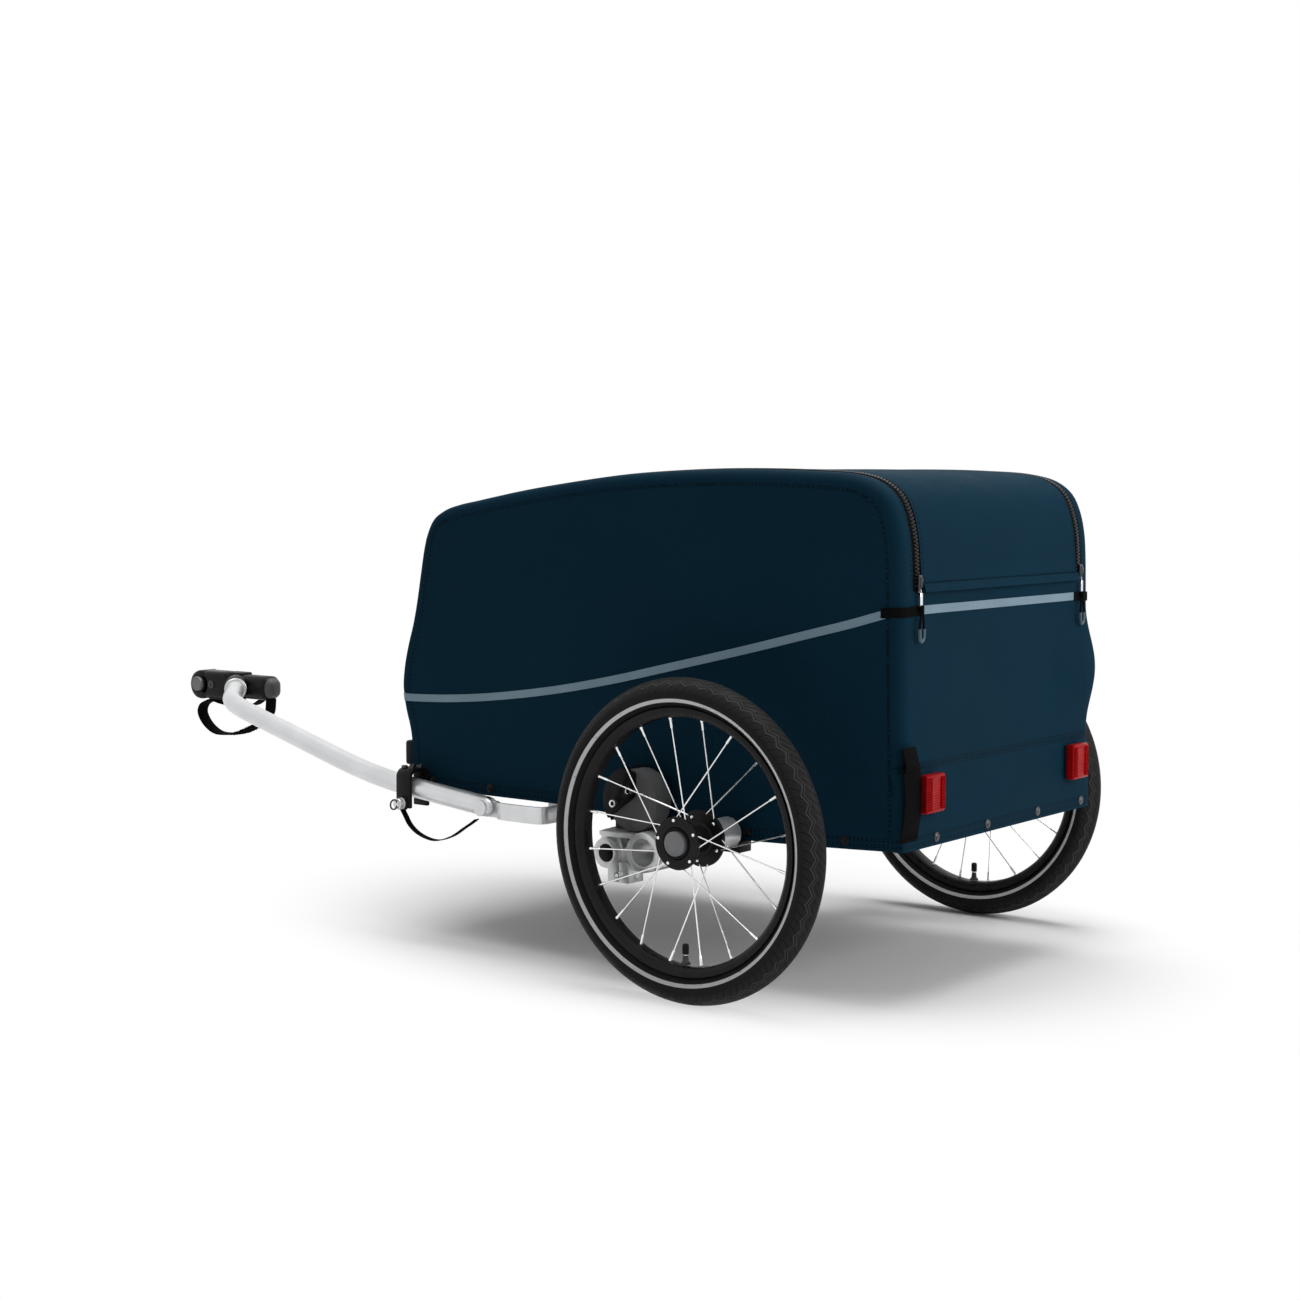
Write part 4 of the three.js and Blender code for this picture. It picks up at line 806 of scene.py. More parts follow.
# %% Hub shell
hub_section = [
    (11.3, -40), (16.4, -40), (17, -39.4), (17, -34.6), (17.6, -34), (34.2, -34), (35, -33.2), (35, -30.3),
    (34.2, -29.5), (19, -29.5), (17, -28.4), (16.2, -26), (16, -24), (18.5, -12), (21.6, -1), (23, 3),
    (23, 12.8), (23.8, 14.3), (31.6, 14.5), (32.5, 15.4), (32.5, 18.1), (31.6, 19), (27, 19.3), (21.4, 19.3),
    (20.2, 19.1), (19.6, 18.4), (19.6, 6.2), (11.3, 6.2), (11.3, -40),
]
shell = turned("hub_shell", hub_section, hub, steps=72)
both_sides(shell, black_anodised, "black_metal", "wheel", "spoked_hub", smooth=28)

# %% [markdown]
# Twenty spokes cross between hub and rim, ten from each flange. A spoke is a thin rod with a nipple where it
# enters the rim, so it is turned about its own line. Only four differ: leading and trailing, on the outer
# and inner flange. Each is turned once and copied to five places, a fifth of a turn apart.
# Every second spoke has its round head on the flange's outside, the others have it on the inside.

# %% Spokes and nipples
SPOKES_A_FLANGE, SPOKE_FOOT, SPOKE_TIP, SPOKE_LEAN = 10, 28, 151.4, 36
spoke_pieces = []
for flange, turn in ((16.75, 0.0), (-31.75, 0.5)):
    for lead in (1, -1):
        index = turn + (0 if lead > 0 else 1)
        hub_angle = 2 * math.pi * (index + 0.25) / SPOKES_A_FLANGE
        rim_angle = hub_angle + lead * math.radians(SPOKE_LEAN)
        foot = hub + Vector((SPOKE_FOOT * math.cos(hub_angle), flange, SPOKE_FOOT * math.sin(hub_angle))) * MM
        tip = hub + Vector((SPOKE_TIP * math.cos(rim_angle), 0, SPOKE_TIP * math.sin(rim_angle))) * MM
        reach = (tip - foot).length / MM
        section = [(0, -1.5), (0.9, -1.5), (0.9, reach - 14), (1.35, reach - 13.2), (1.75, reach - 12.6),
                   (1.75, reach - 3), (2.3, reach - 1.5), (2.3, reach), (0, reach)]
        spoke = turned("spoke", section, foot, (tip - foot).normalized(), steps=10)
        outwards = (1 if flange > 0 else -1) * lead
        head = turned("spoke_head", [
            (0, 1.5 * outwards), (1.2, 1.35 * outwards), (2.0, 0.8 * outwards), (2.35, 0.1 * outwards),
            (2.35, -1.2 * outwards), (0, -1.2 * outwards),
        ], foot + ACROSS * (2.35 * MM * outwards), steps=12)
        whole = joined([spoke, head], "spoke")
        for fifth in range(5):
            around = Matrix.Translation(hub) @ Matrix.Rotation(-fifth * math.radians(72), 4, "Y")
            spoke_pieces.append(copied(whole, f"spoke_{fifth}", around @ Matrix.Translation(-hub)))
        bpy.data.objects.remove(whole)
spokes = joined(spoke_pieces, "spokes")
both_sides(spokes, polished_steel, "steel", "wheel", "spoked_hub")

# %% [markdown]
# A car-type valve points straight down from the rim on both wheels: a tapering rubber stem, a bright
# threaded neck and a ribbed plastic cap. The ribs are cut into the cap by pulling in every second edge of
# its side, which leaves a coarse knurl.

# %% Valves
DOWN = -UP
stem = turned("valve_stem", [
    (0, 150.6), (6.2, 150.6), (6.2, 148.9), (5.0, 148.2), (3.9, 146.4), (3.5, 143), (3.2, 139.5), (0, 139.5),
][::-1], hub, DOWN, steps=24)
neck = turned("valve_neck", [
    (0, 140), (2.7, 140), (2.7, 139.2), (2.4, 138.9), (2.7, 138.6), (2.4, 138.3), (2.7, 138), (2.4, 137.7),
    (2.7, 137.4), (2.7, 136), (0, 136),
], hub, DOWN, steps=20)
cap = turned("valve_cap", [
    (0, 138), (3.9, 138), (4.1, 137.5), (4.1, 130), (4.0, 127.4), (3.3, 125.7), (1.8, 125.1), (0, 125),
], hub, DOWN, steps=36)
knurled(cap, hub, UP, ALONG, 3.9, 10, 0.09)
both_sides(stem, valve_rubber, "black_plastic", "wheel", "inner_tube_valve")
both_sides(neck, polished_steel, "steel", "wheel", "inner_tube_valve")
both_sides(cap, black_plastic, "black_plastic", "wheel", "inner_tube_valve")

# %% [markdown]
# The quick-release axle has a black head that fills the hub's pocket, and a grey push button stands out of
# it. Both are turned. The button's face is slightly crowned, with a fine step around it.

# %% Axle and release button
axle_head = turned("axle_head", [
    (0, 6.5), (18.4, 6.5), (19, 7.1), (19, 18.6), (18.5, 19.8), (17.6, 20.3), (16.8, 20.1), (16.2, 19.4),
    (15.9, 18.5), (15.9, 9.2), (0, 9.2),
], hub, steps=72)
axle_shaft = turned("axle_shaft", [
    (0, -90), (5.6, -90), (6.9, -88.6), (6.9, -80), (6.2, -79.5), (6.2, -77), (6.9, -76.5), (6.9, 6.6),
    (0, 6.6),
], hub, steps=32)
button = turned("release_button", [
    (0, 12.5), (15.4, 12.5), (15.4, 22.6), (14.9, 23.6), (13.9, 24.0), (12.6, 23.9), (12.2, 23.55),
    (6, 23.75), (0, 23.8),
], hub, steps=72)
both_sides(axle_head, black_plastic, "black_metal", "axle", "axle")
both_sides(axle_shaft, polished_steel, "steel", "axle", "axle")
both_sides(button, grey_plastic, "grey_plastic", "axle_button", "axle_button")
for side in ("left", "right"):
    coated(f"hub_bearing_{side}", polished_steel)

# %% [markdown]
# ## Suspension
# The swing arm is a casting, so the solid keeps its shape and only loses its sharp edges. The block, shaft
# and cup that carry it are painted black in the same way. Booleans round the cup's upper corner and cut its
# outer face along a slant. The elastomer between them is a thick grey disc with rounded rims, turned like a
# wheel. Cheese-head bolts hold the cup, and each has a recessed socket.

# %% Swing arm, bracket and elastomer pad
arm = softened("swing_arm_left", "cast_arm", 1.6, 3)
both_sides(arm, cast_aluminium, "silver", "swing_arm", "swing_arm", smooth=40)
carrier = softened("suspension_bracket_left", "arm_carrier", 1.0, 2)
waste = block("waste", at(100, 200, 229), at(200, 320, 290), 0.5, 1)
round_cup = turned("round_cup", [(0, 190), (41, 190), (41, 330), (0, 330)], at(147, 0, 230), steps=96)
apply_modifier(waste, "BOOLEAN", operation="DIFFERENCE", object=round_cup, solver="EXACT")
apply_modifier(carrier, "BOOLEAN", operation="DIFFERENCE", object=waste, solver="EXACT")
slab = block("slab", Vector((-80, 0, -40)) * MM, Vector((80, 30, 0)) * MM, 0)
slant_cut = Matrix.Translation(at(141.6, 290.15, 225.9)) @ Matrix.Rotation(math.radians(35.8), 4, "Y")
cup_edge = copied(slab, "cup_edge", slant_cut)
window = block("window", at(90, 289, 192), at(200, 330, 276), 0)
apply_modifier(cup_edge, "BOOLEAN", operation="INTERSECT", object=window, solver="EXACT")
apply_modifier(carrier, "BOOLEAN", operation="DIFFERENCE", object=cup_edge, solver="EXACT")
for cutter in (waste, round_cup, slab, cup_edge, window):
    bpy.data.objects.remove(cutter)
both_sides(carrier, black_paint, "black_metal", "chassis", "suspension_bracket", smooth=40)

pad = turned("elastomer", [
    (0, 257.8), (37.5, 257.8), (39.2, 258.6), (39.9, 260), (39.9, 287.6), (39.3, 289.2), (38, 290),
    (30, 290.0), (0, 290),
], at(134.6, 0, 230), steps=72)
pad_left, pad_right = both_sides(pad, pad_rubber, "pad_foam", "chassis", "suspension_pad")
for piece, joint in ((pad_left, "suspension_left"), (pad_right, "suspension_right")):
    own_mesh(piece)

# %% Socket bolts


def socket_bolt(name, place, axis, radius, height):
    """A cheese-head bolt with a recessed round socket."""
    return turned(name, [
        (0, 0), (radius, 0), (radius, height * 0.75), (radius * 0.9, height), (radius * 0.62, height),
        (radius * 0.52, height * 0.9), (radius * 0.5, height * 0.35), (0, height * 0.3),
    ], place, axis, steps=24)


cup_bolts = [
    socket_bolt("cup_bolt", at(x, 294.2, z), ACROSS, 5.2, 5.0) for x, z in ((160, 225), (135, 243))
]
both_sides(joined(cup_bolts, "cup_bolts"), polished_steel, "steel", "chassis")
clamp_bolt = socket_bolt("clamp_bolt", at(144, 305.0, 136), ACROSS, 4.6, 4.0)
both_sides(clamp_bolt, polished_steel, "steel", "swing_arm")
print("bolts:", len(cup_bolts) + 1, "a side")

# %% [markdown]
# ## Base frame, hoops and floor
# The square rails and the beams keep their solids, because a plain square tube has no other shape. They get
# drawn aluminium. The hoops are round tubes that follow the cover's side view, a little inside it, so they
# are drawn as tubes along that line.

# %% Frame finishes
for name in ("side_rail_left", "side_rail_right", "rear_crossbar", "front_crossbar", "pivot_beam"):
    coated(name, satin_aluminium)
coated("floor_tray", coated_board)
beam = softened("rear_beam", "rear_beam_body", 1.0)
finished(beam, black_paint, "black_metal", "chassis", "rear_beam", smooth=40)
print("frame members finished")

# %% [markdown]
# ## The cover's surface
# The cover is cloth that is stretched over the hoops. Its side view is one line, from the bottom of the rear
# wall over the lid to the bottom of the front. A few points give that line, and a smooth curve through them
# (Catmull-Rom, so that it bends only near its points) gives the places every few millimetres.

# %% The cover's side view


def run_of(line):
    """How far along a line each of its places lies."""
    return np.r_[0, np.cumsum(np.linalg.norm(np.diff(line, axis=0), axis=1))]


def slope_of(line):
    """The direction of a line at each of its places."""
    slope = np.gradient(line, axis=0)
    return slope / np.linalg.norm(slope, axis=1)[:, None]


def resampled(line, count):
    """A line in so many equal steps."""
    run = run_of(line)
    marks = np.linspace(0, run[-1], count + 1)
    return np.c_[[np.interp(marks, run, column) for column in line.T]].T


def smooth_line(points, spacing):
    """Places every so many millimetres on a smooth curve through points."""
    points = [np.array(p, float) for p in points]
    points = [2 * points[0] - points[1], *points, 2 * points[-1] - points[-2]]
    dense = []
    for a, b, c, d in zip(points, points[1:], points[2:], points[3:]):
        t0, t1 = 0.0, np.linalg.norm(b - a) ** 0.5
        t2 = t1 + np.linalg.norm(c - b) ** 0.5
        t3 = t2 + np.linalg.norm(d - c) ** 0.5
        for t in np.linspace(t1, t2, 40, endpoint=False):
            e = (t1 - t) / (t1 - t0) * a + (t - t0) / (t1 - t0) * b
            f = (t2 - t) / (t2 - t1) * b + (t - t1) / (t2 - t1) * c
            g = (t3 - t) / (t3 - t2) * c + (t - t2) / (t3 - t2) * d
            h = (t2 - t) / (t2 - t0) * e + (t - t0) / (t2 - t0) * f
            i = (t3 - t) / (t3 - t1) * f + (t - t1) / (t3 - t1) * g
            dense.append((t2 - t) / (t2 - t1) * h + (t - t1) / (t2 - t1) * i)
    dense = np.array([*dense, points[-2]])
    return resampled(dense, max(2, round(run_of(dense)[-1] / spacing)))


REAR_WALL = [(-238, 195), (-237.4, 240), (-236.2, 320), (-234.6, 400), (-233.4, 470), (-232.8, 504.9)]
LID_LINE = [
    (-232.8, 504.9), (-232.2, 530), (-229.6, 566), (-222.5, 596), (-210.7, 618.5), (-189.8, 634.1),
    (-161.7, 642.7), (-91.1, 647.9), (-1.9, 650), (78.4, 649.1), (190, 643.6), (256.6, 636.8),
    (360.2, 623.2), (442.9, 609.05),
]
FRONT_WALL = [
    (442.9, 609.05), (479, 602.6), (503.5, 595.5), (523, 583), (534.5, 561), (539.8, 539.5), (544, 518.6),
    (548, 497.6), (552, 476.6), (556.5, 455.5), (562, 434.3), (569, 413), (575.5, 390.2), (579.5, 370),
    (581.5, 350), (580, 333), (575.5, 311), (570.5, 295), (567, 278), (565.6, 255), (565, 232.8),
]
SPACING = 6.0
outline = smooth_line(REAR_WALL + LID_LINE[1:] + FRONT_WALL[1:], SPACING)
run_along = run_of(outline)
slope = slope_of(outline)
outward = np.c_[-slope[:, 1], slope[:, 0]]
print("cover outline:", len(outline), "places over", round(run_along[-1]), "mm")

# %% [markdown]
# The cloth turns the corner from the side panels to the roof and walls over a fold of 16 mm radius, which is
# tighter at the front and down at the rails. Between the hoops it is a little slack: it stands out by a
# millimetre or two in long soft waves, creases run in from the front edge, and the right panel stands out at
# its rear edge, where it was cut a little long. Near the rails it lies taut on them. These small moves are
# given by functions, so that the stripe, the tabs and the press studs are laid on exactly the same surface.

# %% How far out the side panels stand
FOLD = 16.0
WALL_BULGE, PANEL_BULGE, BULGE_Z, BULGE_REACH = 8, 13, 385, 85
PANEL_OUT, TAUT_Z = 245.2, 240
HEM = smooth_line([
    (-238, 195), (-222, 195), (-160, 192.5), (-80, 189.8), (-4, 188.3), (59, 190.9), (150, 198), (252, 204.5),
    (297, 205.8), (350, 206.2), (420, 206.4), (505, 207.4), (535, 210), (552, 217), (561.5, 226), (565, 232.8),
], SPACING)
segments = np.diff(outline, axis=0)
folds = np.interp(outline[:, 1], [238, 290], [6, FOLD])
front_folds = np.interp(outline[:, 1], [540, 600], [10, FOLD])
folds = np.where(outline[:, 0] > 450, np.minimum(folds, front_folds), folds)


def distance_in(x, z):
    """How far a place in the side view is from the outline, in millimetres."""
    place = np.stack([np.ravel(x), np.ravel(z)], 1)[:, None, :] - outline[None, :-1]
    share = np.clip((place * segments).sum(2) / (segments ** 2).sum(1), 0, 1)
    gap = np.linalg.norm(place - share[..., None] * segments, axis=2).min(1)
    return gap.reshape(np.shape(x))


def limited(value):
    """A value kept between nought and one."""
    return max(0.0, min(1.0, value))


def bulge(z):
    """The share of the slack at the right panel's rear edge, by height."""
    return math.cos(math.pi / 2 * limited(abs(z - BULGE_Z) / BULGE_REACH)) ** 2


def wall_slack(y, z):
    """How far the rear wall's cloth stands off its straight line, in millimetres: hollow in its middle."""
    hollow = 3.0 * math.cos(y / 440 * math.pi) * math.sin(math.pi * limited((z - TAUT_Z) / 250))
    wave = 1.6 * noise.noise(Vector((y / 90, z / 80, 9.2))) * limited((z - TAUT_Z) / 40)
    return wave - hollow + WALL_BULGE * bulge(z) * limited((-140 - y) / 90)


def slack(x, z):
    """The side cloth's unevenness at a place, in millimetres: long soft waves and creases at the front."""
    wave = noise.noise(Vector((x / 150, z / 110, 1.7))) * 1.5 + noise.noise(Vector((x / 60, z / 70, 5.1))) * 0.5
    front, rear = limited((x - 440) / 110), limited((-150 - x) / 80) * limited(1 - abs(z - 420) / 120)
    crease = math.sin(z / 15.5 + 1.6 * noise.noise(Vector((x / 50, z / 60, 3.3)))) * 1.2 * front ** 2
    return wave + crease + math.sin(z / 19) * 0.9 * rear


def side_out(x, z, deep=None, side=1):
    """How far from the middle a side panel's cloth is at a place in the side view, in millimetres."""
    deep = distance_in(np.array([x]), np.array([z]))[0] if deep is None else deep
    out = PANEL_OUT + 1.3 * math.sin(math.pi / 2 * limited((z - TAUT_Z) / 150))
    out += slack(x, z) * limited((z - TAUT_Z - 5) / 45) * limited((deep - FOLD) / 60)
    if side < 0:
        out += PANEL_BULGE * bulge(z) * limited((-90 - x) / 130)
    return out


print("side panel stands out", round(side_out(150, 420), 1), "mm at its middle")

# %% [markdown]
# ## The cover as one shell
# The shell is laid in grids. One grid runs along the outline and across the trailer, with the two folds at
# its sides. Each side panel is a second grid that is stretched between the fold, the hem and the two upright
# edges: its inner places are blended from its four borders. Where the lid lies, the first grid is left out.
# All grids share their border places, so merging doubles sews them together, and Solidify gives the cloth
# its thickness inwards. The grids start as Blender's grid primitive, and code lays each vertex in place.

# %% Laying a grid


def laid_grid(name, places, values):
    """A grid primitive laid at places, an array of rows, columns and x, y, z in mm, with values in mm."""
    rows, columns = places.shape[:2]
    bpy.ops.object.select_all(action="DESELECT")
    bpy.ops.mesh.primitive_grid_add(
        x_subdivisions=columns - 1, y_subdivisions=rows - 1, size=1, location=(0, 0, 0),
    )
    grid = bpy.context.object
    grid.name = name
    flat = places.reshape(-1, 3) * MM + np.array([axle_x, 0, 0])
    grid.data.vertices.foreach_set("co", flat.ravel())
    for label, value in values.items():
        attribute = grid.data.attributes.new(label, "FLOAT", "POINT")
        attribute.data.foreach_set("value", (np.broadcast_to(value, (rows, columns)) * MM).ravel())
    return grid


FAR = 900.0
LID_HALF, ZIP_OUT, BAND_OUT, FLAT_END = 202.2, 217.8, 222.5, 230
flap_at = int(np.argmin(np.linalg.norm(outline - np.array(LID_LINE[0]), axis=1)))
hinge_at = int(np.argmin(np.linalg.norm(outline - np.array(LID_LINE[-1]), axis=1)))
inner_line = outline - outward * folds[:, None]
edge_out = {side: np.array([side_out(*p, deep=FOLD, side=side) for p in inner_line]) for side in (1, -1)}


def shell_place(i, kind, value):
    """A place at an index of the outline: flat, at a distance across, or on a fold, degrees round from flat."""
    (x, z), (out_x, out_z), on_rear = outline[i], outward[i], i < flap_at
    if kind == "flat":
        y, off = value, wall_slack(value, z) if on_rear else 0.0
    else:
        turn, side = math.radians(abs(value)), int(math.copysign(1, value))
        off = -folds[i] * (1 - math.cos(turn))
        if side < 0 and on_rear:
            off += WALL_BULGE * bulge(z) * math.cos(turn)
        y = (edge_out[side][i] - folds[i] + folds[i] * math.sin(turn)) * side
    return (x + out_x * off, y, z + out_z * off)


print("lid starts at", flap_at, "and ends at", hinge_at, "of", len(outline))

# %% Roof, walls and folds
fold_left = [("fold", a) for a in (0.01, 15, 30, 45, 60, 75, 90)]
band_left = [("flat", ZIP_OUT), ("flat", BAND_OUT)]
fold_right, band_right = [[(kind, -v) for kind, v in reversed(part)] for part in (fold_left, band_left)]
middle = [("flat", float(v)) for v in [-LID_HALF, *np.linspace(-198, 198, 56), LID_HALF]]
SEAM_Z, SEAM_BAND, HEM_BAND = 292, 12, 20


def strip_grid(name, indices, columns):
    """One strip of the shell with its stitch distances."""
    places = np.array([[shell_place(i, *column) for column in columns] for i in indices])
    rows = np.array(indices)[:, None]
    arc = [abs(v) if kind == "flat" else FLAT_END + math.radians(abs(v)) * FOLD for kind, v in columns]
    arc = np.array(arc)
    hem = np.minimum(run_along[rows], run_along[-1] - run_along[rows])
    rear_seam = np.where(rows < flap_at, outline[rows, 1] - SEAM_Z, FAR)
    goes_across = (hem < HEM_BAND) | ((np.abs(rear_seam) < SEAM_BAND) & (arc < FLAT_END + FOLD))
    return laid_grid(name, places, {
        "edge": arc - FLAT_END - FOLD * math.pi / 2, "hem": hem, "rear_seam": rear_seam,
        "zip_edge": np.where((flap_at <= rows) & (rows <= hinge_at), arc - ZIP_OUT, FAR),
        "along": np.where(goes_across, places[..., 1], run_along[rows]),
    })


full_width = fold_right + band_right + middle + band_left + fold_left
strips = [
    strip_grid("rear_strip", range(0, flap_at + 1), full_width),
    strip_grid("front_strip", range(hinge_at, len(outline)), full_width),
    strip_grid("band_right", range(flap_at, hinge_at + 1), fold_right + band_right),
    strip_grid("band_left", range(flap_at, hinge_at + 1), band_left + fold_left),
]
print("strips:", sum(len(strip.data.polygons) for strip in strips), "faces")

# %% Side panels
UPRIGHT_SHARE, EDGE_BAND, MIDDLE_X, STEEP_FROM = 0.268, 40, 165, 330
total = len(inner_line) - 1
upright = int(round(total * UPRIGHT_SHARE))
top_count = total - 2 * upright
rear_side, top_side = inner_line[:upright + 1], inner_line[upright:upright + top_count + 1]
front_side = inner_line[upright + top_count:][::-1]
hem_low, hem_high = rear_side[0], front_side[0]
hem_line = np.array([p for p in HEM if hem_low[0] + 2 < p[0] < hem_high[0] - 2])
bottom_side = resampled(np.vstack([hem_low, hem_line, hem_high]), top_count)
u = np.linspace(0, 1, top_count + 1)[:, None]
panel = np.zeros((upright + 1, top_count + 1, 2))
for row, v in enumerate(np.linspace(0, 1, upright + 1)):
    upper_lower = (1 - v) * bottom_side + v * top_side
    left_right = (1 - u) * rear_side[row] + u * front_side[row]
    low_ends, high_ends = (1 - u) * hem_low + u * hem_high, (1 - u) * rear_side[-1] + u * front_side[-1]
    panel[row] = upper_lower + left_right - ((1 - v) * low_ends + v * high_ends)
deep = distance_in(panel[..., 0], panel[..., 1])
hem_heights = np.interp(panel[..., 0], HEM[:, 0], HEM[:, 1])
for side, edges in edge_out.items():
    out = np.array([
        [side_out(x, z, max(FOLD, gap), side) for (x, z), gap in zip(line, gaps)]
        for line, gaps in zip(panel, deep)
    ])
    out[-1] = edges[upright:upright + top_count + 1]
    out[:, 0], out[:, -1] = edges[:upright + 1], edges[upright + top_count:][::-1]
    order = slice(None, None, side)
    x, z, gap = panel[:, order, 0], panel[:, order, 1], deep[:, order]
    hem = z - hem_heights[:, order]
    goes_up = (gap < EDGE_BAND) & (hem >= HEM_BAND) & (np.abs(x - MIDDLE_X) > STEEP_FROM)
    strips.append(laid_grid(f"side_{side}", np.stack([x, out[:, order] * side, z], 2), {
        "edge": gap - FOLD, "hem": hem, "rear_seam": FAR, "zip_edge": FAR, "along": np.where(goes_up, z, x),
    }))
cover = joined(strips, "cover_shell")
close_up(0.0002)
CLOTH = 1.3 * MM
apply_modifier(cover, "SOLIDIFY", thickness=CLOTH, offset=-1)
finished(
    cover, cover_cloth, "navy_fabric", "chassis", "cover_side_left", "cover_side_right", "cover_rear",
    "cover_front", "cover_band_left", "cover_band_right", smooth=60,
)
print("cover shell:", len(cover.data.polygons), "faces")

# %% [markdown]
# ## Lid
# The lid is the cloth between the two zips, from the hinge at the front over the roof to a flap on the rear
# wall. It is laid as one grid on the same outline. Its flap stands a few millimetres off the wall and hangs
# a little past its zips' ends, which gives the dark line below it. A thicker strip on its lower edge is the
# flap's hem. The lid is one sheet.

# %% Lid cloth
LID_OUT, FLAP_LIFT, FLAP_REACH, LID_SAG = 0.9, 6.0, 34, 0.8
flap_run, hinge_run = run_along[flap_at], run_along[hinge_at]
flap_low = flap_run - 4


def on_outline(run, out):
    """A place at a distance along the outline, some millimetres off it, and the way outwards there."""
    normal = np.array([np.interp(run, run_along, column) for column in outward.T])
    place = np.array([np.interp(run, run_along, column) for column in outline.T]) + normal * out
    return place, normal / np.linalg.norm(normal)


def facing(sheet, way):
    """Turns an open sheet's faces the same way round, towards a direction."""
    close_up()
    if sum(face.normal.dot(way) * face.area for face in sheet.data.polygons) < 0:
        sheet.data.flip_normals()


def lid_place(run, y):
    """A place of the lid's cloth: a distance along the outline, and across."""
    out = LID_OUT + FLAP_LIFT * limited(1 - (run - flap_low) / FLAP_REACH) ** 2
    out += LID_SAG * noise.noise(Vector((y / 95, run / 120, 7.7))) * limited((LID_HALF - abs(y)) / 40)
    out += 0.5 * math.sin(run / 8 + y / 60) * max(0.0, 1 - (run - flap_run + 3) / 60)
    (x, z), _ = on_outline(run, out)
    return (x, y, z)


lid_runs = np.r_[flap_low, flap_run - 1, flap_run + 3, run_along[flap_at + 1:hinge_at - 1], hinge_run - 2]
lid_columns = np.linspace(-LID_HALF + 0.4, LID_HALF - 0.4, 66)
lid_places = np.array([[lid_place(run, y) for y in lid_columns] for run in lid_runs])
above_hem = (lid_runs - flap_low)[:, None]
lid = laid_grid("lid_cloth", lid_places, {
    "hem": above_hem, "zip_edge": LID_HALF - np.abs(lid_places[..., 1]),
    "along": np.where(above_hem < 16, lid_places[..., 1], above_hem),
})
facing(lid, UP)
apply_modifier(lid, "SOLIDIFY", thickness=CLOTH, offset=-1)
finished(lid, lid_cloth, "navy_fabric", "lid", "lid", smooth=60)
flap_hem = laid_grid("flap_hem", lid_places[:4] - np.array([LID_OUT, 0, 0]), {})
facing(flap_hem, -ALONG)
apply_modifier(flap_hem, "SOLIDIFY", thickness=2.2 * MM, offset=0)
finished(flap_hem, lid_cloth, "navy_fabric", "lid", smooth=60)

# %% [markdown]
# The shell is a sheet too, sewn from panels.

# %% [markdown]
# ## Zips
# Each zip is a black tape in the gap beside the lid, with a coil of teeth on it. A tooth is a small rounded
# block. It is modelled once and scattered every 2.2 mm along the outline, in turn a little to the left and
# right, as the two halves of a closed zip lie in each other. A tooth has few faces, because there are many.

# %% Zip tapes and teeth
ZIP_MID, TOOTH_PITCH, TOOTH_ASIDE = 210.0, 2.2, 1.9
tape_rows = []
for run in np.linspace(flap_run - 8, hinge_run - 1, 150):
    (x, z), _ = on_outline(run, -0.3)
    tape_rows.append([(x, y, z) for y in (201, 205, ZIP_MID, 215, 219)])
tape = laid_grid("zip_tape", np.array(tape_rows), {})
apply_modifier(tape, "SOLIDIFY", thickness=1.0 * MM, offset=0)
both_sides(tape, zip_tape, "black_webbing", "chassis", "zip")

tooth = block("tooth", Vector((-1.4, -2.9, -1.3)) * MM, Vector((1.4, 2.9, 1.3)) * MM, 0.8, 1)
tooth_places = []
for count, run in enumerate(np.arange(flap_run + 2, hinge_run - 3, TOOTH_PITCH)):
    (x, z), (out_x, out_z) = on_outline(run, 0.2)
    turn = Matrix(((out_z, 0, out_x, 0), (0, 1, 0, 0), (-out_x, 0, out_z, 0), (0, 0, 0, 1)))
    aside = TOOTH_ASIDE if count % 2 else -TOOTH_ASIDE
    tooth_places.append(Matrix.Translation(at(x, ZIP_MID + aside, z)) @ turn)
teeth = scattered(tooth, "zip_teeth", tooth_places)
zip_metal = hard_finish(
    "zip coil", (0.003, 0.003, 0.003, 1), (0.006, 0.006, 0.006, 1), (0.16, 0.26), bump=0.00002,
    Specular_IOR_Level=0.2,
)
both_sides(teeth, zip_metal, "black_webbing", "chassis", "zip", smooth=20)
print("teeth a side:", len(tooth_places))

# %% [markdown]
# A slider is a small cast body with a loop on its back and a wire bail below, which the puller's eye turns
# on. The puller's lower end can swing out from there: a bright tab, a black cord in a knot, and a grey-blue
# sleeve on the cord's lower bend. The cord is part of the puller and can't hang free, so it is a plain loop,
# drawn as a tube along a smooth path.

# %% Sliders and pullers


def smooth_path(points, spacing=1.5):
    """A smooth curve through places in millimetres, as places in metres."""
    return [at(*p) for p in smooth_line(points, spacing)]


BAIL_X, BAIL_Z = -237.1, 505.0
slider_body = block("slider", at(-238.6, ZIP_MID - 3.6, 507.5), at(-234.3, ZIP_MID + 3.6, 524.4), 1.3, 3)
slider_bail = tube("slider_bail", [at(BAIL_X, ZIP_MID + aside, z) for aside, z in (
    (-2.6, 509), (-2.6, 505.6), (-2.0, BAIL_Z), (2.0, BAIL_Z), (2.6, 505.6), (2.6, 509),
)], 0.45, 8)
slider_loop = tube("slider_loop", [at(x, ZIP_MID, z) for x, z in (
    (-238.4, 521), (-239.6, 520.6), (-240.3, 519), (-240.4, 515), (-240.3, 511.5), (-239.6, 510),
    (-238.4, 509.6),
)], 0.85, 12)
slider = joined([slider_body, slider_loop, slider_bail], "zip_slider_body")
both_sides(slider, dark_steel, "steel", "zip_slider", "zip_slider")

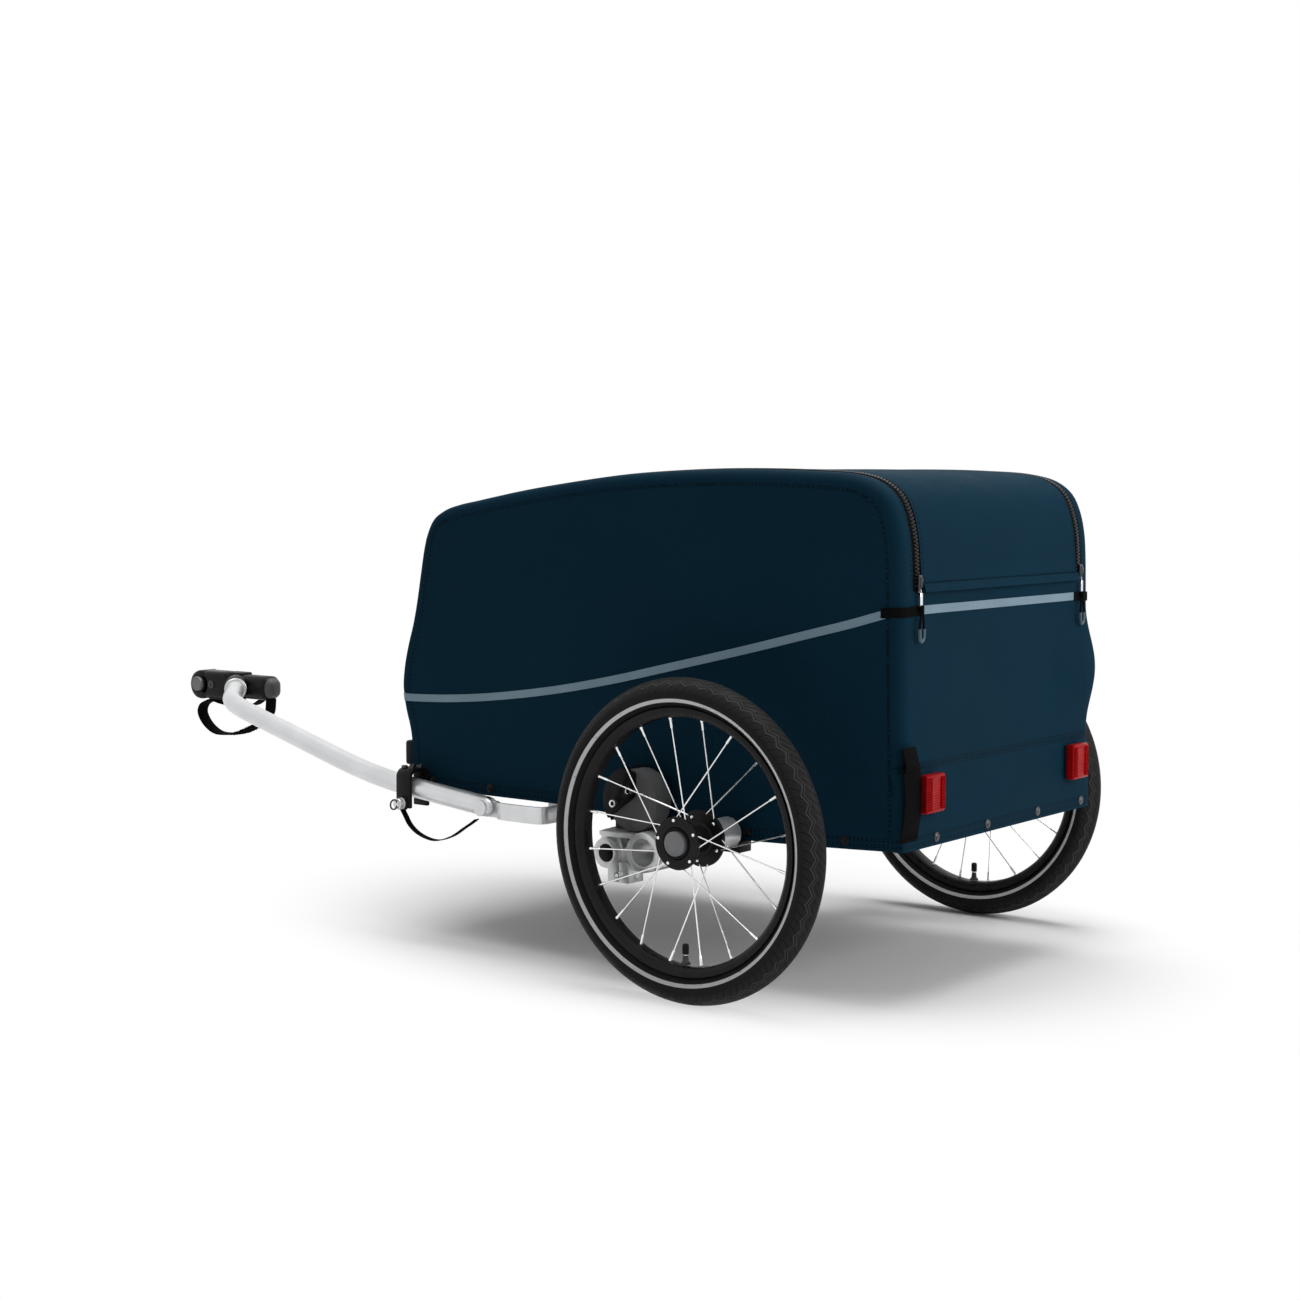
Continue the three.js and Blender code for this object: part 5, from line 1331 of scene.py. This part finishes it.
tab = block("puller_tab", at(-239.9, ZIP_MID - 2.6, 487.5), at(-238.0, ZIP_MID + 2.6, 503.2), 0.8, 2)
tab_eye = tube("puller_eye", [
    at(BAIL_X - 1.6 * math.cos(a), ZIP_MID, BAIL_Z + 2.0 * math.sin(a))
    for a in np.linspace(0, 2 * math.pi, 17)[:-1]
], 0.5, 8, closed=True)
both_sides(joined([tab, tab_eye], "puller_tab"), polished_steel, "steel", "zip_puller", "zip_puller")
knot = turned("puller_knot", [
    (0, 4.4), (2.0, 4.1), (3.2, 2.6), (3.5, 0.6), (2.9, -0.6), (3.4, -2.2), (2.6, -4.6), (0, -5.0),
], at(-239.6, ZIP_MID, 484), UP, 20)
cord = tube("puller_cord", smooth_path([(x, ZIP_MID + aside, z) for x, aside, z in (
    (-239.2, 0.6, 486), (-240.0, 2.2, 477), (-240.2, 4.0, 467), (-240.0, 5.0, 457), (-239.8, 3.9, 448.6),
    (-239.8, 0, 445.0),
    (-239.8, -3.9, 448.6), (-240.0, -5.0, 457), (-240.2, -4.0, 467), (-240.0, -2.2, 477), (-239.2, -0.6, 486),
)]), 1.4, 12)
both_sides(joined([knot, cord], "puller_cord"), black_webbing, "black_webbing", "zip_puller", "zip_puller")
grip_blue = hard_finish(
    "grey-blue sleeve", (0.045, 0.085, 0.115, 1), (0.065, 0.110, 0.145, 1), (0.35, 0.5), bump=0.00003,
    Specular_IOR_Level=0.3,
)
sleeve = tube("puller_sleeve", smooth_path([(x, ZIP_MID + aside, z) for x, aside, z in (
    (-240.0, 4.9, 460), (-240.0, 4.7, 452), (-239.8, 3.0, 447), (-239.8, 0, 445.0), (-239.8, -3.0, 447),
    (-240.0, -4.7, 452), (-240.0, -4.9, 460),
)]), 2.3, 16)
both_sides(sleeve, grip_blue, "grey_plastic", "zip_puller", "zip_puller")

# %% [markdown]
# ## Stripe, corner tabs and press studs
# The reflective stripe is sewn on the cloth, so it takes its places from the same functions as the shell and
# stands half a millimetre off it. It runs along both sides, climbs towards the rear, and crosses the rear
# and front walls. Each side has a stripe of its own, because the right panel stands out at its rear edge.
# Black webbing tabs cover the stripe's ends at the rear corners, under the zips.

# %% Following the cloth
wall_table = np.c_[outline[:, 0], outward, folds, edge_out[1]]


def wall_line(z, front):
    """The rear or front wall at a height: its x, the way outwards, the fold's radius and the panel's edge."""
    part = slice(hinge_at, None) if front else slice(0, flap_at + 1)
    order = np.argsort(outline[part, 1])
    return [np.interp(z, outline[part, 1][order], column[order]) for column in wall_table[part].T]


def wall_place(y, z, front, off):
    """A place on the rear or front wall, some millimetres off the cloth."""
    x, out_x, out_z, _, _ = wall_line(z, front)
    if not front:
        off += wall_slack(y, z)
    return (x + out_x * off, y, z + out_z * off)


def fold_place(turn, z, front, off):
    """A place on the fold between wall and left side, turn degrees round from the wall."""
    x, out_x, out_z, fold, edge = wall_line(z, front)
    turn = math.radians(turn)
    inwards = fold * (1 - math.cos(turn)) - off * math.cos(turn)
    return (x - out_x * inwards, edge - fold + (fold + off) * math.sin(turn), z - out_z * inwards)


def sewn_on(name, rows, thickness):
    """A narrow strip laid on the cloth."""
    strip = laid_grid(name, np.array(rows), {})
    close_up()
    apply_modifier(strip, "SOLIDIFY", thickness=thickness * MM, offset=0)
    return strip


def stripe(name, rows):
    """A piece of the reflective stripe."""
    finished(sewn_on(name, rows, 0.5), reflective_tape, "grey_plastic", "chassis")
    print(name, "laid in", len(rows), "rows")


ROUND_FOLD = (88, 75, 60, 45, 30, 15, 0)
TAPE_OFF, ACROSS_TAPE, TAPE_EDGES = 0.55, (-5.2, -2.6, 0, 2.6, 5.2), (-5.2, 0, 5.2)
REAR_TAPE_Z, FRONT_TAPE_Z = 482, 332.6
stripe_line = smooth_line([
    (570.5, FRONT_TAPE_Z), (554, 332.8), (500, 335.0), (440, 339.6), (371.5, 347.6), (290, 360), (200, 377.6),
    (103, 400), (-10, 426.5), (-108, 451), (-160, 464), (-192.5, 473), (-214, 479.0),
], SPACING)
for sign, side in ((1, "left"), (-1, "right")):
    side_rows = []
    for place, way in zip(stripe_line, slope_of(stripe_line)):
        line = [(place[0] + way[1] * share, place[1] - way[0] * share) for share in ACROSS_TAPE]
        side_rows.append([(x, sign * (side_out(x, z, side=sign) + TAPE_OFF), z) for x, z in line])
    stripe(f"side_stripe_{side}", side_rows)
stripe("rear_stripe", [
    [wall_place(y, REAR_TAPE_Z + s, False, TAPE_OFF) for s in ACROSS_TAPE] for y in np.linspace(-197, 197, 70)
])
front_rows = [
    [fold_place(turn, FRONT_TAPE_Z + s, True, TAPE_OFF) for s in TAPE_EDGES] for turn in ROUND_FOLD
] + [[wall_place(y, FRONT_TAPE_Z + s, True, TAPE_OFF) for s in TAPE_EDGES] for y in np.linspace(222, 0, 30)]
stripe("front_stripe", front_rows + [[(x, -y, z) for x, y, z in row] for row in front_rows[-2::-1]])

# %% Corner tabs
ACROSS_TAB, TAB_OFF, TAB_Z = (-6, -3, 0, 3, 6), 1.3, 480.5
tab_rows = []
for x in (-206, -210, -214, -217):
    tab_rows.append([(x, side_out(x, TAB_Z - 1 + s, FOLD) + TAB_OFF, TAB_Z - 1 + s) for s in ACROSS_TAB])
for turn in ROUND_FOLD:
    tab_rows.append([fold_place(turn, TAB_Z + s, False, TAB_OFF) for s in ACROSS_TAB])
for y in (222, 214, 207, 200, 196):
    tab_rows.append([wall_place(y, TAB_Z + 1 + s, False, TAB_OFF + 0.1) for s in ACROSS_TAB])
corner_tab = sewn_on("corner_tab", tab_rows, 1.2)
rounded(corner_tab, 0.35, 2, 50)
both_sides(corner_tab, black_webbing, "black_webbing", "chassis")

# %% [markdown]
# Press studs hold the hem to the frame. A stud is a small turned dome with a rim. One function turns it at
# each place along the hem, with its axis pointing out of the wall or the side.

# %% Press studs


def stud(place, axis):
    """One press stud."""
    return turned("stud", [
        (0, 2.7), (2.0, 2.6), (3.4, 2.1), (4.0, 1.5), (4.6, 1.35), (5.6, 1.25), (6.1, 0.8), (6.1, -0.9),
        (0, -0.9),
    ], at(*place), axis, 24)


side_studs = []
for x in (-157, -14, 129, 272, 415, 520):
    z = float(np.interp(x, HEM[:, 0], HEM[:, 1])) + 10
    side_studs.append(stud((x, side_out(x, z), z), ACROSS))
both_sides(joined(side_studs, "side_studs"), black_paint, "black_plastic", "chassis")
rear_studs = [stud(wall_place(y, 205, False, 0), -ALONG) for y in (167, 40, -94, -218)]
finished(joined(rear_studs, "rear_studs"), dark_steel, "black_plastic", "chassis")
front_studs = [stud(wall_place(y, 243, True, 0), ALONG) for y in (-180, -60, 60, 180)]
finished(joined(front_studs, "front_studs"), black_paint, "black_plastic", "chassis")
print("press studs:", 2 * len(side_studs) + len(rear_studs) + len(front_studs))

# %% [markdown]
# ## Reflectors, flag strap and bumpers
# A reflector is a rounded red box on a thin base, with upright ribs at both ends of its face and a smooth
# window between them. The box starts as a cube. Its front face is picked by its normal, inset for the
# window and pushed in by a millimetre. The ribs are thin rods that lie half sunk in it.

# %% Reflectors


def window_in(piece, axis, inset, depth):
    """Insets the faces that look along an axis and pushes them in, both in millimetres."""
    pick(piece)
    bpy.ops.object.mode_set(mode="EDIT")
    bpy.ops.mesh.select_all(action="DESELECT")
    bpy.ops.object.mode_set(mode="OBJECT")
    for face in piece.data.polygons:
        face.select = face.normal.dot(axis) > 0.99
    bpy.ops.object.mode_set(mode="EDIT")
    bpy.ops.mesh.select_mode(type="FACE")
    bpy.ops.mesh.inset(thickness=inset * MM, depth=0)
    bpy.ops.transform.translate(value=-axis * (depth * MM))
    bpy.ops.mesh.select_mode(type="VERT")
    bpy.ops.object.mode_set(mode="OBJECT")


lens = block("reflector", at(-252.2, 169.6, 238.6), at(-239.6, 212.4, 285.4), 3.2, 4)
window_in(lens, -ALONG, 3.6, 0.9)
ribs = []
for y in (*np.arange(172.2, 179.5, 1.8), *np.arange(202.6, 210.2, 1.8)):
    ribs.append(tube("rib", [at(-252.3, y, 242.2), at(-252.3, y, 281.8)], 0.75, 8))
both_sides(joined([lens, *ribs], "reflector_lens"), red_lens, "red_lens", "chassis", "rear_reflector")
base = block("reflector_base", at(-240.2, 170.6, 239.6), at(-236.2, 211.4, 284.4), 1.2, 2)
both_sides(base, black_plastic, "black_plastic", "chassis", "rear_reflector")

# %% [markdown]
# The strap beside the left reflector carries a flag's pole. It is a doubled band of webbing, sewn on at its
# lower end and folded narrower at its top, so it is drawn as two bands along slightly bowed lines.

# %% Flag strap and bumpers
strap = webbing("flag_band", smooth_path([
    (-238.8, 234.5, 207.2), (-239.4, 234.0, 214), (-241.2, 231.2, 232), (-242.4, 229.4, 256),
    (-241.8, 230.8, 280), (-240.2, 232.6, 301),
], 4), ACROSS, 39, 1.6)
strap_top = webbing("flag_fold", smooth_path([
    (-243.4, 236.6, 292), (-244.8, 237.0, 297), (-244.4, 237.4, 303), (-242.4, 237.8, 312),
    (-240.2, 238.0, 321),
], 2), ACROSS, 30, 2.4)
stitched = [
    block("flag_stitch", at(-241.1, 214, z), at(-238.8, 251, z + 0.8), 0.3, 1) for z in (210, 213.5)
]
strap = joined([strap, strap_top, *stitched], "flag_band")
finished(strap, black_webbing, "black_webbing", "chassis", "flag_strap")

bumper = block("bumper", at(564.6, 222.2, 236.2), at(578.8, 241.8, 270.8), 4.2, 4)
window_in(bumper, ALONG, 2.4, 1.2)
both_sides(bumper, black_plastic, "black_plastic", "chassis", "front_bumper")

# %% [markdown]
# ## Hoops and bows
# They are hidden until the lid is opened. Each hoop is a tube along the outline, moved inwards by its own
# radius, the cloth's thickness and a small gap. The bows join them across the trailer.

# %% Hoops and bows
BAR_RADIUS, HOOP_IN, HOOP_Y, HOOP_FOOT = 7.6, 11.4, 234.3, 236
hoop_line = (outline - outward * HOOP_IN)[outline[:, 1] > HOOP_FOOT][::2]
hoop = tube("hoop_tube", [at(x, HOOP_Y, z) for x, z in hoop_line], BAR_RADIUS, 16)
both_sides(hoop, satin_aluminium, "silver", "chassis", "hoop")
for name in ("rear_bow", "front_bow"):
    low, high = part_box(name)
    middle = (low + high) / 2
    bow = tube(name + "_tube", [Vector((middle.x, y, middle.z)) for y in (low.y, high.y)], BAR_RADIUS, 16)
    finished(bow, satin_aluminium, "silver", "chassis", name)
print("hoops and bows made")

# %% [markdown]
# ## Drawbar
# The drawbar is one bent tube. Its path is straight runs joined by two bends, each a quadratic curve between
# its neighbours. The rear end is a rounded knuckle with a fork slot, cut by a Boolean with a block, and a
# pin with a flat round head goes through it.

# %% Drawbar tube
BAR_Y, TUBE_RADIUS = 275, 13.75
pivot, low_bend = at(393, BAR_Y, 197), at(600, BAR_Y, 219)
high_bend, tube_end = at(905, BAR_Y, 306), at(1010, 168, 316)


def bent(points, reaches, steps=14):
    """Straight runs between points, with a bend of a given reach at each inner point."""
    path = [points[0]]
    for before, corner, after, reach in zip(points, points[1:], points[2:], reaches):
        start = corner + (before - corner).normalized() * (reach * MM)
        end = corner + (after - corner).normalized() * (reach * MM)
        for t in np.linspace(0, 1, steps):
            path.append(start * (1 - t) ** 2 + corner * (2 * t * (1 - t)) + end * t ** 2)
    return [*path, points[-1]]


bar = tube("drawbar_body", bent([pivot, low_bend, high_bend, tube_end], [80, 45]), TUBE_RADIUS, 40)
knuckle = turned("knuckle", [
    (0, -12.6), (5, -12.4), (8.6, -10.4), (11.6, -7.2), (13.3, -3.4), (TUBE_RADIUS, 0), (TUBE_RADIUS, 6),
    (0, 6),
], pivot, (low_bend - pivot).normalized(), 48)
slot_low, slot_high = Vector((-20, -4.3, -30)), Vector((18.8, 4.3, 30))
slot_block = block("slot", pivot + slot_low * MM, pivot + slot_high * MM, 0)
for piece in (bar, knuckle):
    apply_modifier(piece, "BOOLEAN", object=slot_block, operation="DIFFERENCE")
bpy.data.objects.remove(slot_block)
bar = joined([bar, knuckle], "drawbar_body")
finished(bar, satin_aluminium, "silver", "drawbar", "drawbar_tube", smooth=40)

pin = turned("hinge_pin", [
    (0, 258.5), (5.9, 258.5), (5.9, 289.2), (10.2, 289.2), (11, 290), (11, 292.0), (10.4, 292.8), (9.4, 293.0),
    (0, 293.0),
], at(393, 0, 197), steps=48)
finished(pin, satin_aluminium, "silver", "chassis", "drawbar_pivot_pin")

# %% [markdown]
# The bracket is flat bar on edge: a tongue in the drawbar's fork, a shoulder, a long slightly bowed side and
# a bend back to its foot under the rail. The saddle that the drawbar rests in is an upside-down U. Both are
# one line that is extruded to the bar's width and thickened, as a strap is, and then rounded at their edges.

# %% Bracket and saddle


def flat_bar(name, points, side, width, thickness, edge, material, slot, *nodes):
    """Bent flat bar on the chassis: a line in millimetres, extruded across it and thickened."""
    bar_piece = webbing(name, [at(*p) for p in points], side, width, thickness)
    rounded(bar_piece, edge, 3, 50)
    return finished(bar_piece, material, slot, "chassis", *nodes, smooth=40)


BRACKET_Z, SADDLE_X = 195, 532
bend_turns = [math.radians(a) for a in range(0, 91, 10)]
bend = [(300 - 12 * math.sin(a), 274 + 12 * math.cos(a)) for a in bend_turns]
flat_bar("pivot_bracket", [(x, y, BRACKET_Z) for x, y in (
    (403.5, 275), (380, 275), (374, 276.2), (368.5, 281.5), (364, 285.2), (352, 286.8), (330, 287.4),
    (312, 286.8), *bend, (288, 224.5), (289.5, 222.6), (292, 221.8), (330, 221.8),
)], UP, 23, 4.8, 0.7, satin_aluminium, "silver", "drawbar_bracket")
crown = [(283 + 9 * math.sin(a), 227 + 9.4 * math.cos(a)) for a in reversed(bend_turns)]
flat_bar("bar_saddle", [(SADDLE_X, y, z) for y, z in (
    (292.2, 184.6), (292.2, 205), *crown, *[(2 * BAR_Y - y, z) for y, z in reversed(crown)], (257.8, 184.6),
)], ALONG, 26.4, 6, 1.6, black_plastic, "black_plastic", "drawbar_saddle")
foot = block("saddle_foot", at(518.8, 219.4, 195.4), at(545.2, 257.4, 206.9), 2.0, 3)
boss = turned("saddle_boss", [(5.5, 294), (10.6, 294), (10.6, 296.6), (9.8, 297.6), (5.5, 297.6)],
              at(SADDLE_X, 0, 191.5), steps=40)
finished(joined([foot, boss], "saddle_foot"), black_plastic, "black_plastic", "chassis", "drawbar_saddle")
heads = [socket_bolt("saddle_bolt", at(x, y, 239.2), UP, 4.4, 3.4) for x in (525.3, 538.7) for y in (268, 284)]
finished(joined(heads, "saddle_bolts"), dark_steel, "steel", "chassis")
print("bracket and saddle bent")

# %% [markdown]
# The locking pin has a bright ribbed head with a dark wire ring, and a webbing tether in a slack curve back
# to the pivot.

# %% Locking pin and tether
lock_low, lock_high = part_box("lock_pin")
pin_z = (lock_low.z + lock_high.z) / 2 / MM
lock_pin = turned("lock_pin_body", [
    (0, 289.2), (4.4, 289.2), (4.4, 295.4), (7.2, 295.4), (7.9, 296.1), (7.9, 299), (7.2, 299.6), (7.2, 301.2),
    (7.9, 301.8), (7.9, 305.4), (7.0, 306.9), (5.4, 307.4), (0, 307.5),
], at(SADDLE_X, 0, pin_z), steps=40)
finished(lock_pin, satin_aluminium, "steel", "lock_pin", "lock_pin")
ring = tube("lock_ring", [
    at(SADDLE_X, 312.8 + 6.6 * math.cos(a), pin_z + 6.6 * math.sin(a))
    for a in np.linspace(0, 2 * math.pi, 33)[:-1]
], 1.2, 10, closed=True)
finished(ring, dark_steel, "steel", "lock_pin", "lock_pin")
tether_line = [(SADDLE_X - 139 * back, 295, 182.0 - 36 * down) for back, down in (
    (0, 0), (0.03, 0.16), (0.1, 0.53), (0.22, 0.83), (0.44, 1), (0.66, 0.77), (0.83, 0.38), (0.94, 0.12),
    (0.985, 0),
)]
tether = webbing("tether_band", smooth_path(tether_line, 3), ACROSS, 9.5, 1.4)
finished(tether, black_webbing, "black_webbing", "chassis", "pin_tether")
print("drawbar and its lock made")

# %% [markdown]
# ## Hitch
# The housing is a moulding with well rounded ends, built from a rounded bar, a drum for the push button at
# its front, a ferrule for the tube, a lug on top and a pad below. A toothed bright collar sits where the tube
# enters it: a turned ring whose every second edge is pulled in. Button, lock and end cap are small turned or
# softened pieces. The safety strap below is webbing that is gathered into folds where it is sewn.

# %% Hitch housing and its parts
rear_arm = block("hitch_arm", at(946, 132.4, 297), at(1070, 167.6, 333.6), 11, 6)
front_arm = block("hitch_front", at(1030, 132.6, 293), at(1102, 167.8, 336.6), 9, 5)
drum = turned("hitch_drum", [
    (0, 132.4), (18.5, 132.4), (21.4, 133.6), (22.6, 136.5), (22.6, 163), (21.6, 166.2), (19, 167.8),
    (11.6, 167.8), (11.6, 160), (0, 160),
], at(1097.3, 0, 314.2), steps=56)
into = (high_bend - tube_end).normalized()
ferrule = turned("hitch_ferrule", [
    (0, -14), (15.2, -14), (17.8, -11), (18.4, 4), (18.2, 14), (17.6, 18.4), (16.4, 19.4), (14, 19.4), (14, 12),
    (0, 12),
], tube_end, into, 56)
lug = block("hitch_lug", at(1006, 138, 329), at(1044, 162, 336.9), 2.4, 3)
under = block("hitch_under", at(1020, 138, 291.2), at(1084, 162, 300), 3, 3)
housing = joined([rear_arm, front_arm, drum, ferrule, lug, under], "hitch_body")
finished(housing, black_plastic, "black_plastic", "drawbar", "hitch_housing", smooth=45)
collar = turned("collar", [
    (13.8, 17), (16.6, 17), (17.2, 17.8), (17.2, 26.6), (16.2, 27.6), (13.8, 27.8), (13.8, 17),
], tube_end, into, 96)
knurled(collar, tube_end, into, into.orthogonal().normalized(), 15.5, 3.75, 0.05)
finished(collar, cast_aluminium, "silver", "drawbar", "hitch_housing", smooth=20)
press = turned("hitch_press", [
    (0, 159.4), (11.3, 159.4), (11.3, 172.6), (10.6, 173.6), (9.4, 173.9), (8.6, 173.3), (4, 173.6), (0, 173.7),
], at(1098, 0, 316), steps=48)
finished(press, grey_plastic, "grey_plastic", "hitch_button", "hitch_button")
press_ring = turned("press_ring", [
    (11.9, 166), (14.6, 166), (14.6, 168.4), (13.9, 169.3), (12.5, 169.3), (11.9, 168.7), (11.9, 166),
], at(1098, 0, 316), steps=48)
finished(press_ring, black_paint, "black_plastic", "drawbar", "hitch_housing")
lock_face = softened("key_lock", "lock_barrel", 0.5, 2, 40)
finished(lock_face, dark_steel, "steel", "key_lock", "key_lock")
cap = block("end_cap", at(939.8, 135, 299.6), at(966, 165, 331), 11, 6)
finished(cap, dark_grey_plastic, "grey_plastic", "drawbar", "hitch_end_cap")

# %% Safety strap
STRAP_Y = 150
loop_shares = [
    (0.035, 0.02), (-0.1, 0.2), (-0.13, 0.42), (-0.06, 0.74), (0.1, 1), (0.3, 1.02), (0.5, 0.92), (0.75, 0.62),
    (0.9, 0.3), (0.93, -0.14),
]
loop_line = smooth_line([(1091 - 150 * back, 291 - 52 * down) for back, down in loop_shares], 1.5)
gathered = []
for (x, z), way, run in zip(loop_line, slope_of(loop_line), run_of(loop_line)):
    share = limited(1 - abs(x - 1003) / 34) if z < 272 else 0.0
    ripple = 2.6 * share ** 0.5 * math.sin(run * 0.95)
    gathered.append(at(x + way[1] * ripple, STRAP_Y, z - way[0] * ripple))
safety = webbing("safety_band", gathered, ACROSS, 19.5, 2.6)
inner_band = webbing("safety_inner", smooth_path([(x, STRAP_Y, z) for x, z in (
    (1082, 290), (1060, 286), (1035, 284.5), (1010, 285), (985, 289), (972, 296),
)], 4), ACROSS, 17, 2.2)
finished(joined([safety, inner_band], "safety_band"), black_webbing, "black_webbing", "drawbar", "safety_strap")
print("hitch made")

# %% [markdown]
# ## Floor, background and light
# The picture has a white ground with a soft grey shadow. The floor is matt white and, away from the trailer,
# turns into the same white as the background, but only for what the camera, a mirror or glass sees. Near the
# trailer it keeps the shadow. A large lamp overhead, a soft one behind, a faint one at the left front and a
# pale world light the trailer.

# %% Floor
bpy.ops.object.select_all(action="DESELECT")
bpy.ops.mesh.primitive_plane_add(size=40, location=(0, 0, 0))
floor = bpy.context.object
floor.name = "floor"
ground, tree, shader = new_finish("white ground", Roughness=0.9, Specular_IOR_Level=0.1)
shader.inputs["Base Color"].default_value = (0.92, 0.92, 0.92, 1)
along, aside, _ = parts_of(tree, object_place(tree, (axle_x + 0.17, -0.10, 0)))
along = maths(tree, "POWER", maths(tree, "DIVIDE", along, 0.85), 2)
aside = maths(tree, "POWER", maths(tree, "DIVIDE", aside, 0.57), 2)
reach = maths(tree, "SQRT", maths(tree, "ADD", along, aside))
fade = between(tree, reach, 0.55, 1.05)


def seen_rays(tree):
    """One for a camera, glossy or transmission ray, else nought."""
    rays = tree.nodes.new("ShaderNodeLightPath").outputs
    mirrored = maths(tree, "MAXIMUM", rays["Is Glossy Ray"], rays["Is Transmission Ray"])
    return maths(tree, "MAXIMUM", rays["Is Camera Ray"], mirrored)


glow = tree.nodes.new("ShaderNodeEmission")
glow.inputs["Strength"].default_value = 1.0
mixer = tree.nodes.new("ShaderNodeMixShader")
tree.links.new(product(tree, fade, seen_rays(tree)), mixer.inputs[0])
tree.links.new(shader.outputs[0], mixer.inputs[1])
tree.links.new(glow.outputs[0], mixer.inputs[2])
tree.links.new(mixer.outputs[0], tree.nodes["Material Output"].inputs["Surface"])
floor.data.materials.append(ground)
floor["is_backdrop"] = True

# %% World and lamps
world = bpy.data.worlds.new("pale studio")
bpy.context.scene.world = world
world.use_nodes = True
tree = world.node_tree
background = tree.nodes["Background"]
wire(tree, background.inputs["Strength"], between(tree, seen_rays(tree), 0, 1, 0.33, 1.0))
background.inputs["Color"].default_value = (1, 1, 1, 1)


def softbox(name, place, target, width, height, watts):
    """A rectangular lamp that looks at a target."""
    lamp = bpy.data.lights.new(name, "AREA")
    lamp.shape = "RECTANGLE"
    lamp.size, lamp.size_y, lamp.energy = width, height, watts
    box = bpy.data.objects.new(name, lamp)
    box.location = place
    box.rotation_euler = (Vector(target) - Vector(place)).to_track_quat("-Z", "Y").to_euler()
    bpy.context.scene.collection.objects.link(box)


softbox("overhead", (-0.35, -0.35, 2.9), (-0.25, 0, 0.2), 2.2, 1.8, 60)
softbox("behind", (-3.2, -0.9, 1.5), (-0.4, 0, 0.4), 1.6, 1.6, 44)
softbox("left_front", (1.2, 3.2, 1.6), (-0.2, 0.2, 0.3), 1.4, 1.4, 3)
bpy.context.scene.view_settings.view_transform = "Standard"
print("floor, world and three lamps set")

# %% [markdown]
# ## Size
# The dressed trailer is meant to stay as large as the solids; its box is printed.

# %% Finish
dressed_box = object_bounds()
low, high = [[round(v, 3) for v in corner] for corner in dressed_box]
print("dressed trailer reaches from", low, "to", high)
